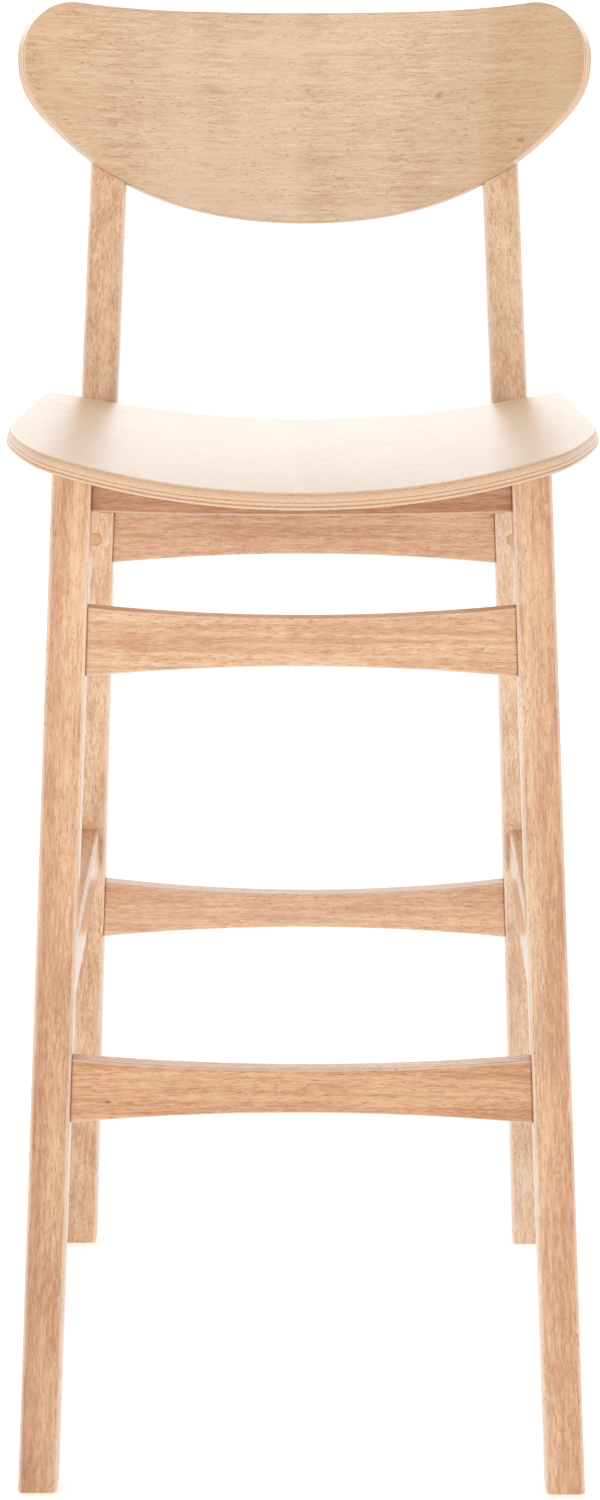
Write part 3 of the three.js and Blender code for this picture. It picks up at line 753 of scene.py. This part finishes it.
# Where the plies meet, as (depth in mm, tone): 1 is pale long grain, 0 dark end grain or glue.
SEAT_PLIES = [
    (0.0, 0.8), (1.2, 0.85), (1.5, 0.25), (1.8, 0.6), (3.6, 0.7), (5.6, 0.85), (6.6, 0.75),
    (6.9, 0.2), (7.2, 0.55), (7.8, 0.95), (8.9, 0.9), (9.3, 0.45), (10.2, 0.35), (10.5, 0.9),
    (12.2, 1.0),
]
BACK_PLIES = [
    (0.0, 0.8), (1.1, 0.85), (1.3, 0.25), (2.6, 0.5), (2.8, 0.95), (4.4, 0.9), (4.6, 0.3), (6.1, 0.45),
    (6.3, 0.95), (7.9, 0.9), (8.1, 0.3), (9.5, 0.5), (9.7, 0.95), (12.0, 0.9),
]


def plywood(name, seed, light, dark, edge_light, edge_dark, plies, coat, tones_and_shades=(), knots=(), pores=0.7):
    """Bent plywood: lacquered veneer with painted highlight bands on its faces, and its plies on its
    edges.
    """
    wood = Surface(name, **{**LACQUER, **coat})
    place = wood.stored("grain", "Vector")
    colour, fibres, board = wood_figure(wood, place, seed, light, dark, **VENEER_FIGURE)
    # Painted highlight: soft pale bands across the veneer, standing in for reflections of the softboxes.
    painted_highlight = wood.span(wood.noise(place, HIGHLIGHT_BANDS, detail=1.0), *MIDDLE_NOISE)
    colour = wood.mix(wood.times(painted_highlight, VENEER_HIGHLIGHT), colour, light)
    colour = tone_and_shade(wood, place, board, colour, tones_and_shades)
    colour = add_knots(wood, place, board, colour, knots)
    depth = wood.parts(place)[THROUGH]
    thickness = plies[-1][0] * MM
    waver = wood.swing(wood.noise(place, PLY_WAVES, detail=1.0), PLY_WAVER)
    share = wood.maths("DIVIDE", wood.plus(depth, waver), thickness)
    ramp = wood.add("ShaderNodeValToRGB", {0: share})
    stops = ramp.color_ramp.elements
    ready = len(stops)
    for k, (at, tone) in enumerate(plies):
        stop = stops[k] if k < ready else stops.new(at * MM / thickness)
        stop.position = at * MM / thickness
        stop.color = (tone, tone, tone, 1)
    flecks = wood.noise(board, END_GRAIN, detail=2.0, roughness=0.7)
    tone = wood.plus(ramp.outputs[0], wood.swing(flecks, END_GRAIN_SHARE))
    edge = wood.mix(wood.span(tone, 0.0, 1.0), edge_dark, edge_light)
    past_face = wood.span(depth, *EDGE_FADE)
    before_back = wood.span(depth, thickness - EDGE_FADE[1], thickness - EDGE_FADE[0], 1.0, 0.0)
    on_edge = wood.times(past_face, before_back)
    colour = wood.mix(on_edge, colour, edge)
    add_pores(wood, colour, board, fibres, PORE, pores)
    return wood.material


def plain_wood(name, seed):
    """Unlacquered block wood on a CAD node, its grain along the x axis of the part's frame."""
    wood = Surface(name, Specular_IOR_Level=BARE_SPECULAR)
    place = wood.node_place()
    turn = (0, math.pi / 2, 0)
    place = wood.add("ShaderNodeMapping", {"Vector": place, "Rotation": turn}).outputs[0]
    colour, fibres, board = wood_figure(wood, place, seed, BLOCK_LIGHT, BLOCK_DARK, **BLOCK_FIGURE)
    add_pores(wood, colour, board, fibres, PORE, BLOCK_PORES)
    return wood.material


def zinc_steel(name):
    surface = Surface(name, Metallic=1.0)
    place = surface.node_place()
    blooms = surface.noise(place, STEEL_BLOOMS, detail=4.0)
    scratches = surface.noise(place, STEEL_SCRATCHES, detail=2.0)
    colour = surface.mix(blooms, STEEL_LIGHT, STEEL_DARK)
    surface.paint(colour, surface.span(scratches, *MOST_NOISE, *STEEL_ROUGHNESS))
    surface.bump(scratches, **STEEL_BUMP)
    return surface.material


def nylon(name):
    surface = Surface(name, Specular_IOR_Level=0.4, Subsurface_Weight=0.1, Subsurface_Scale=1 * MM)
    place = surface.node_place()
    mottle = surface.noise(place, NYLON_MOTTLE, detail=3.0)
    scuffs = surface.noise(place, NYLON_SCUFFS, detail=3.0, roughness=0.7)
    colour = surface.mix(surface.span(mottle, *MOST_NOISE), NYLON_LIGHT, NYLON_DARK)
    surface.paint(colour, surface.span(scuffs, *MOST_NOISE, *NYLON_ROUGHNESS))
    surface.bump(scuffs, **NYLON_BUMP)
    return surface.material


# ---- Panels ----


def panel(node, outline, thickness, place, material):
    profile = plate_profile(thickness, PANEL_TOP_ARRIS, PANEL_BACK_ARRIS)
    points, faces, flat = plate(outline, profile, place)
    piece = new_object(f"{node}_plywood", points, faces)
    give_grain(piece, [(h, depth, s) for s, h, depth in flat])
    finish_piece(piece, node, material)


panel(
    "seat_panel", seat_outline(), SEAT_THICKNESS, seat_place,
    plywood(
        "seat_veneer", 3, srgb(238, 211, 182), srgb(220, 187, 154),
        srgb(228, 188, 150), srgb(146, 100, 66), SEAT_PLIES, SEAT_COAT,
    ),
)
panel(
    "backrest_panel", back_outline(), BACK_THICKNESS, back_place,
    plywood(
        "backrest_veneer", 7, srgb(231, 201, 169), srgb(197, 154, 114),
        srgb(236, 204, 170), srgb(178, 132, 94), BACK_PLIES, {},
        tones_and_shades=[(ALONG, 0.06, 0.17, (0.84, 0.78, 0.66)), (ALONG, -0.08, -0.2, (1.0, 0.96, 0.88))],
        knots=[(0.002, 0.106, 3.2 * MM, (0.7, 0.54, 0.4)), (-0.034, 0.173, 2.6 * MM, (0.8, 0.66, 0.52))],
    ),
)


# ---- Legs ----


def front_leg_corner(leg):
    """Sharp-cornered front leg, from its foot up to the sloping underside of the seat."""
    top = leg.high.z
    tops = {}

    def corner(t, u, v):
        if (u, v) not in tops:
            point = leg.point(u, v, top)
            for _ in range(SETTLING_ROUNDS):
                point = leg.point(u, v, underside(point.x, point.y))
            tops[u, v] = point.z
        return leg.point(u, v, lerp(leg.low.z, tops[u, v], t))

    return corner


def rear_leg_corner(leg):
    return lambda t, u, v: leg.point(u, v, lerp(leg.low.z, leg.high.z, t))


def leg_grain(leg):
    """Across from the middle of the leg outwards, through it, and up it."""
    side = 1 if leg.centre_x(0) > 0 else -1
    return lambda p: (side * (p.x - leg.centre_x(p.z)), p.y, p.z)


def housing_cutter():
    """The space that the backrest panel takes in the posts, with all that lies before it."""
    outline = inset_loop(back_outline(), -BACK_CLEARANCE)
    profile = [(1, 0, -HOUSING_REACH), (1, 0, BACK_THICKNESS + BACK_CLEARANCE)]
    points, faces, _ = plate(outline, profile, back_place)
    return new_object("housing", points, faces)


def round_cutter(place, radius, start, end):
    points, faces = turned([(radius, start), (radius, end)], place)
    return new_object("bore", points, faces)


def peg_place(side_name):
    """Places a point of the peg by its offsets in the leg's face and its distance behind that face."""
    low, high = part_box(f"rail_peg_{side_name}")
    middle, leg = (low + high) / 2, legs["rear", side_name]

    def place(a, b, distance):
        z = middle.z + b
        return Vector((middle.x + a, leg.front_at(z) + distance, z))

    return place


def plug_place(level, side_name):
    """The same for a plug in the back of a post: distance goes forwards into the wood."""
    low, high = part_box(f"backrest_plug_{level}_{side_name}")
    middle, leg = (low + high) / 2, legs["rear", side_name]

    def place(a, b, distance):
        z = middle.z - (high.y - low.y) / 2 * math.sin(BACK_LEAN) + b
        return Vector((middle.x - a, leg.back_at(z) - distance, z))

    return place


PLUG_LEVELS = ("lower", "upper")
peg_low, peg_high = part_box("rail_peg_left")
peg_radius, peg_length = (peg_high.x - peg_low.x) / 2, peg_high.y - peg_low.y
plug_low, plug_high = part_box("backrest_plug_lower_left")
plug_radius = (plug_high.x - plug_low.x) / 2

# Painted shade: a leg darker towards its foot, where less light falls.
FOOT_PAINTED_SHADE = (ALONG, 0.55, 0.05, (0.84, 0.8, 0.78))
# The posts' own darker, warmer tone, above the rear legs' painted light.
POST_TONE = (ALONG, 0.7, 0.8, (0.93, 0.85, 0.76))
LEG_LOOKS = {
    ("front", "left"): {
        "seed": 1, "light": srgb(236, 195, 154), "dark": srgb(194, 139, 96), "slope": 0.012,
        "tones_and_shades": [(ACROSS, 0.0, 0.006, (0.9, 0.82, 0.82)), FOOT_PAINTED_SHADE],
    },
    ("front", "right"): {
        "seed": 2, "light": srgb(233, 195, 158), "dark": srgb(192, 139, 102), "slope": -0.02,
        # its second shade is a milder painted shade towards the foot
        "tones_and_shades": [(ACROSS, -0.008, 0.002, (0.95, 0.86, 0.8)), (ALONG, 0.3, 0.05, (0.97, 0.95, 0.94))],
    },
    # The rear legs' paler tones are painted light: the haze of the light from behind them.
    ("rear", "left"): {
        "seed": 4, "light": srgb(245, 216, 184), "dark": srgb(206, 158, 121), "slope": 0.01,
        # a stronger painted shade towards the foot, then the posts' tone
        "tones_and_shades": [(ALONG, 0.55, 0.05, (0.8, 0.71, 0.64)), POST_TONE],
    },
    ("rear", "right"): {
        "seed": 5, "light": srgb(245, 219, 190), "dark": srgb(210, 167, 132), "slope": 0.015,
        "tones_and_shades": [FOOT_PAINTED_SHADE, POST_TONE],
    },
}

for (end, side_name), leg in legs.items():
    rear = end == "rear"
    corner = rear_leg_corner(leg) if rear else front_leg_corner(leg)
    top_rounding = POST_TOP_ROUNDING if rear else SHOULDER_ROUNDING
    points, faces, highlight_rims = bar(corner, LEG_ARRIS, LEG_STEPS, FOOT_ROUNDING, top_rounding)
    piece = new_object(f"{leg.node}_timber", points, faces, highlight_rims)
    if rear:
        cutters = [housing_cutter()]
        cutters.append(round_cutter(peg_place(side_name), peg_radius + RING_GAP, BORE_START, peg_length))
        for level in PLUG_LEVELS:
            place, depth = plug_place(level, side_name), PLUG_DEPTH + PLUG_BORE_SPARE
            cutters.append(round_cutter(place, plug_radius + RING_GAP, BORE_START, depth))
        carve(piece, cutters)
    give_grain_by(piece, leg_grain(leg))
    finish_piece(piece, leg.node, timber(f"{leg.node}_wood", **LEG_LOOKS[end, side_name]))


# ---- Rails ----


def edge_curves(node, axis, spots):
    """Lower and upper edge heights of a rail as curves along an axis, fitted to its sections."""
    cuts = [section(node, axis, at) for at in spots]
    return [np.polyfit(spots, [cut[end][2] for cut in cuts], 2) for end in (0, 1)]


def cross_rail_corner(node, end, under_seat=False):
    """Sharp-cornered rail between two legs, its ends following the legs' lean."""
    leg = legs[end, "right"]
    low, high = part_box(node)
    reach = leg.inner((low.z + high.z) / 2)
    measured = CROSS_RAIL_SPAN * reach
    bottom, top = edge_curves(node, 0, np.linspace(-measured, measured, CROSS_RAIL_CUTS))

    def corner(t, u, v):
        side = 2 * t - 1
        x = side * (reach - SHOULDER_GAP)
        y = lerp(low.y, high.y, u)
        upper = underside(x, y) if under_seat else np.polyval(top, x)
        z = lerp(np.polyval(bottom, x), upper, v)
        return Vector((side * (leg.inner(z) - SHOULDER_GAP), y, z))

    return corner


def side_rail_corner(node, side_name, under_seat=False):
    """Sharp-cornered rail from a front leg's back to a rear leg's face."""
    front, rear = legs["front", side_name], legs["rear", side_name]
    low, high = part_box(node)
    start, end = (lerp(low.y, high.y, share) for share in SIDE_RAIL_SPAN)
    spots = np.linspace(start, end, SIDE_RAIL_CUTS)
    curves = edge_curves(node, 1, spots)
    bottom, top = (np.polyfit(spots, np.polyval(curve, spots), 1) for curve in curves)
    middle_cut = section(node, 1, (low.y + high.y) / 2)

    def corner(t, u, v):
        x = lerp(middle_cut[0][0], middle_cut[1][0], u)
        y = lerp(low.y, high.y, t)
        for _ in range(SHOULDER_ROUNDS):
            upper = underside(x, y) if under_seat else np.polyval(top, y)
            z = lerp(np.polyval(bottom, y), upper, v)
            y = lerp(front.back_at(z) + SHOULDER_GAP, rear.front_at(z) - SHOULDER_GAP, t)
        return Vector((x, y, z))

    return corner


def rail(node, corner, arris, look, grain, end_gap):
    """end_gap gives a point's distance from the nearer leg."""
    points, faces, highlight_rims = bar(corner, arris, RAIL_STEPS, SHOULDER_ROUNDING, SHOULDER_ROUNDING)
    piece = new_object(f"{node}_timber", points, faces, highlight_rims)
    give_grain_by(piece, grain)
    # Nearness to the leg, for the dark joint line and the painted shadow of the leg on the rail's end.
    joint_and_shadow = piece.data.attributes.new("joint_and_shadow", "FLOAT", "POINT")
    nearness = [max(0, 1 - end_gap(v.co) / JOINT_WIDTH) for v in piece.data.vertices]
    joint_and_shadow.data.foreach_set("value", nearness)
    finish_piece(piece, node, timber(f"{node}_wood", **look))


def along_x(p):
    return (p.z, p.y, p.x)


def along_y(p):
    return (p.z, p.x, p.y)


def along_y_end(p):
    return (p.x, p.z, p.y)


TAN, TAN_DARK = srgb(237, 198, 160), srgb(198, 142, 100)
SHADE, SHADE_DARK = srgb(236, 196, 162), srgb(196, 142, 104)

CROSS_RAILS = {
    "front_upper_rail": ("front", {
        "seed": 11, "light": TAN, "dark": TAN_DARK,
        "knots": [(0.647, -0.12, 12 * MM, (0.94, 0.8, 0.72))],
    }),
    "footrest_rail": ("front", {
        "seed": 12, "light": srgb(226, 178, 134), "dark": srgb(183, 122, 78),
        "knots": [(0.3065, -0.14, 2.6 * MM, (0.64, 0.45, 0.32))],
    }),
    "rear_upper_rail": ("rear", {"seed": 13, "light": SHADE, "dark": SHADE_DARK}),
    "rear_stretcher": ("rear", {"seed": 14, "light": TAN, "dark": srgb(203, 152, 118)}),
    # The front apron's darker tones are painted shade: the seat's shadow over it.
    "front_apron": ("front", {"seed": 15, "light": srgb(206, 153, 114), "dark": srgb(168, 108, 70)}),
    "rear_apron": ("rear", {"seed": 16, "light": SHADE, "dark": SHADE_DARK}),
}
CROSS_RAIL_BOARD = {"pith": (-80 * MM, 50 * MM), "slope": 0.03}
SIDE_RAIL_LOOK = {"light": TAN, "dark": TAN_DARK, "pith": (60 * MM, 30 * MM), "slope": 0.03}
SIDE_RAILS = {  # (seed, arris, is it under the seat)
    "side_stretcher": (17, STRETCHER_ARRIS, False),
    "side_apron": (20, RAIL_ARRIS, True),
}

for node, (end, look) in CROSS_RAILS.items():
    corner = cross_rail_corner(node, end, under_seat=node == "front_apron")
    leg = legs[end, "right"]
    look = {**CROSS_RAIL_BOARD, **look}
    rail(node, corner, RAIL_ARRIS, look, along_x, lambda p, leg=leg: leg.inner(p.z) - abs(p.x))

for side_name in SIDES:
    front, rear = legs["front", side_name], legs["rear", side_name]

    def end_gap(p, front=front, rear=rear):
        return min(p.y - front.back_at(p.z), rear.front_at(p.z) - p.y)

    for kind, (seed, arris, under_seat) in SIDE_RAILS.items():
        node = f"{kind}_{side_name}"
        corner = side_rail_corner(node, side_name, under_seat)
        look = {**SIDE_RAIL_LOOK, "seed": seed + SIDES[side_name]}
        rail(node, corner, arris, look, along_y, end_gap)


# ---- Pegs, plugs, screws, blocks and glides ----


PEG_LIGHT, PEG_DARK = srgb(228, 184, 140), srgb(206, 156, 112)
PEG_PITH = (10 * MM, 10 * MM)
PEG_SEED, PLUG_SEED, BLOCK_SEED = 30, 34, 40


def rounded_rim(radius, start, rounding):
    """The part of a profile that turns from an end face at height start into the side."""
    rim = [(rounding * (1 - math.sin(a)), rounding * (1 - math.cos(a))) for a in QUARTER[1:]]
    return [(radius - inset, start + rise) for inset, rise in rim]


def domed_profile(radius, length):
    """A round body's profile from its slightly domed visible end to its flat hidden one."""
    profile = []
    for k in range(1, DOME_STEPS + 1):
        r = (radius - DOME_ROUNDING) * k / DOME_STEPS
        profile.append((r, -DOME_RISE * (1 - (r / radius) ** 2)))
    profile += rounded_rim(radius, profile[-1][1], DOME_ROUNDING)
    profile += [(radius, length - HIDDEN_CHAMFER), (radius - HIDDEN_CHAMFER, length)]
    return profile


def round_wood(node, place, radius, length, seed, grain):
    points, faces = turned(domed_profile(radius, length), place)
    piece = new_object(f"{node}_turned", points, faces)
    give_grain_by(piece, grain)
    finish_piece(piece, node, timber(f"{node}_wood", seed, PEG_LIGHT, PEG_DARK, PEG_PITH))


for k, side_name in enumerate(SIDES):
    node = f"rail_peg_{side_name}"
    length = peg_length - PEG_LENGTH_SPARE
    round_wood(node, peg_place(side_name), peg_radius, length, PEG_SEED + k, along_y_end)
    for level in PLUG_LEVELS:
        node = f"backrest_plug_{level}_{side_name}"
        round_wood(node, plug_place(level, side_name), plug_radius, PLUG_DEPTH, PLUG_SEED + k, along_x)


def upright(node):
    """The foot of an upright round node's axis, its radius and its length."""
    low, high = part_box(node)
    foot = Vector(((low.x + high.x) / 2, (low.y + high.y) / 2, low.z))
    return foot, (high.x - low.x) / 2, high.z - low.z


def screw_profile(head, length):
    """A pan-head screw as (radius, distance) pairs, from its head to its tip."""
    shank, core = head / 2, head * SCREW_CORE
    crest_end, core_start, core_end = THREAD_STEPS
    profile = [(head * share, distance) for share, distance in SCREW_HEAD]
    profile += [(shank, SCREW_NECK), (shank, THREAD_START)]
    for k in range(int((length - THREAD_START - THREAD_END) / THREAD_PITCH)):
        z = THREAD_START + k * THREAD_PITCH
        profile += [(shank, z + crest_end), (core, z + core_start), (core, z + core_end)]
    return profile + [(core, length - SCREW_POINT), (TIP_RADIUS, length)]


def recess_cutter(foot, half_x, half_y):
    """One arm of the cross recess in a screw's head, narrower towards its bottom."""
    corners = [Vector((sx * half_x, sy * half_y, 0)) for sx, sy in ((-1, -1), (1, -1), (1, 1), (-1, 1))]
    rings = [[foot + size * p + Vector((0, 0, z)) for p in corners] for size, z in RECESS_TAPER]
    return new_object("recess", *loft(rings))


def glide_profile(radius, length):
    """A nail-on glide as (radius, distance) pairs, from its sole to the nail's tip."""
    profile = [(radius * share, distance) for share, distance in GLIDE_DISH]
    profile += [(radius - GLIDE_ROUNDING, 0)] + rounded_rim(radius, 0, GLIDE_ROUNDING)
    profile += [(radius, GLIDE_FLANGE - GLIDE_CHAMFER), (radius - GLIDE_CHAMFER, GLIDE_FLANGE)]
    profile += [(NAIL_RADIUS, GLIDE_FLANGE), (NAIL_RADIUS, length - NAIL_POINT), (TIP_RADIUS, length)]
    return profile


CORNERS = ("front_left", "front_right", "rear_left", "rear_right")

steel = zinc_steel("zinc_plated_steel")
for node in (f"seat_screw_{corner}" for corner in CORNERS):
    foot, head, length = upright(node)
    profile = screw_profile(head, length)
    points, faces = turned(profile, lambda a, b, z: foot + Vector((a, b, z)), count=SCREW_SIDES)
    piece = new_object(f"{node}_threaded", points, faces)
    width, reach = RECESS_ARM
    carve(piece, [recess_cutter(foot, width, reach), recess_cutter(foot, reach, width)])
    finish_piece(piece, node, steel)

glide_look = nylon("glide_nylon")
for node in (f"foot_glide_{corner}" for corner in CORNERS):
    foot, radius, length = upright(node)
    points, faces = turned(glide_profile(radius, length), lambda a, b, z: foot + Vector((a, b, z)))
    finish_piece(new_object(f"{node}_moulded", points, faces), node, glide_look)


def dress(node, material, arris):
    """Gives a CAD node its material and softened arrises, without touching its mesh."""
    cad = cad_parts[node]
    cad.data.materials.clear()
    cad.data.materials.append(material)
    weld = cad.modifiers.new("weld", "WELD")
    weld.merge_threshold = CAD_WELD
    soften = cad.modifiers.new("soften", "BEVEL")
    soften.width = arris
    soften.segments = 3
    soften.limit_method = "ANGLE"
    soften.angle_limit = SOFTENED_FROM
    cad.modifiers.new("even_shading", "WEIGHTED_NORMAL")


for k, (end, side_name) in enumerate(legs):
    node = f"corner_block_{end}_{side_name}"
    dress(node, plain_wood(f"{node}_wood", BLOCK_SEED + k), BLOCK_ARRIS)
for level in PLUG_LEVELS:
    for side_name in SIDES:
        dress(f"backrest_screw_{level}_{side_name}", steel, HIDDEN_SCREW_ARRIS)


# ---- Studio ----


FLOOR_CORNERS = ((-40, -20), (40, -20), (40, 60), (-40, 60))
FLOOR_GREY = 0.92
FLOOR_GLOW = 0.44
OVERHEAD_FADE = (0.2, 0.55)  # heights of the view's direction between which the world dims
BEHIND_FADE = (-0.2, 0.4)  # the same for how far it points behind the stool


def studio_floor():
    points = [Vector((x, y, 0)) for x, y in FLOOR_CORNERS]
    floor = new_object("studio_floor", points, [(0, 1, 2, 3)])
    grey = (FLOOR_GREY, FLOOR_GREY, FLOOR_GREY, 1)
    surface = Surface(
        "pale_floor", Base_Color=grey, Roughness=0.6, Specular_IOR_Level=0.3,
        Emission_Color=(1, 1, 1, 1), Emission_Strength=FLOOR_GLOW,
    )
    floor.data.materials.append(surface.material)


def softbox(name, place, aim, size, radiance, only_in_gloss=False):
    light = bpy.data.lights.new(name, "AREA")
    light.shape = "RECTANGLE"
    light.size, light.size_y = size
    light.energy = radiance * math.pi * size[0] * size[1]
    lamp = bpy.data.objects.new(name, light)
    lamp.location = place
    lamp.rotation_euler = (Vector(aim) - Vector(place)).to_track_quat("-Z", "Y").to_euler()
    lamp.visible_camera = False
    lamp.visible_diffuse = not only_in_gloss
    add_to_scene(lamp)


def studio_world(horizon, overhead, behind):
    """A white studio, dimmer overhead and, by the share given, behind the stool."""
    world = bpy.data.worlds.new("white_studio")
    scene.world = world
    world.use_nodes = True
    tree = world.node_tree
    background = tree.nodes["Background"]
    background.inputs["Color"].default_value = (1.0, 1.0, 1.0, 1.0)
    direction = tree.nodes.new("ShaderNodeTexCoord").outputs["Generated"]
    parts = tree.nodes.new("ShaderNodeSeparateXYZ")
    tree.links.new(direction, parts.inputs[0])
    product = tree.nodes.new("ShaderNodeMath")
    product.operation = "MULTIPLY"
    fades = {"Z": (*OVERHEAD_FADE, horizon, overhead), "Y": (*BEHIND_FADE, 1.0, behind)}
    for k, (axis, spread) in enumerate(fades.items()):
        fade = tree.nodes.new("ShaderNodeMapRange")
        fade.interpolation_type = "SMOOTHSTEP"
        for label, value in zip(("From Min", "From Max", "To Min", "To Max"), spread):
            fade.inputs[label].default_value = value
        tree.links.new(parts.outputs[axis], fade.inputs["Value"])
        tree.links.new(fade.outputs["Result"], product.inputs[k])
    tree.links.new(product.outputs[0], background.inputs["Strength"])


studio_floor()
studio_world(horizon=1.4, overhead=0.73, behind=0.74)
softbox("key", place=(-1.6, -2.6, 2.4), aim=(0, 0, 0.7), size=(1.6, 1.6), radiance=0.75)
softbox(
    "backdrop", place=(0, 3.2, 2.6), aim=(0, 0, 2.6), size=(7, 2.6), radiance=1.45, only_in_gloss=True,
)

CAMERA_PLACE = (14.3 * MM, -2819.35 * MM, 1290.2 * MM)
CAMERA_PITCH = 15.48  # degrees below the horizon
CAMERA_YAW = 0.34  # degrees to the left
SENSOR = 36  # mm along the frame's longer side
FOCAL_LENGTH = 91.7448  # mm

lens = bpy.data.cameras.new("camera")
lens.sensor_fit = "AUTO"
lens.sensor_width = SENSOR
lens.lens = FOCAL_LENGTH
camera = bpy.data.objects.new("camera", lens)
camera.location = CAMERA_PLACE
camera.rotation_euler = (math.radians(90 - CAMERA_PITCH), 0, math.radians(CAMERA_YAW))
add_to_scene(camera)
scene.camera = camera
scene.view_settings.view_transform = "Standard"
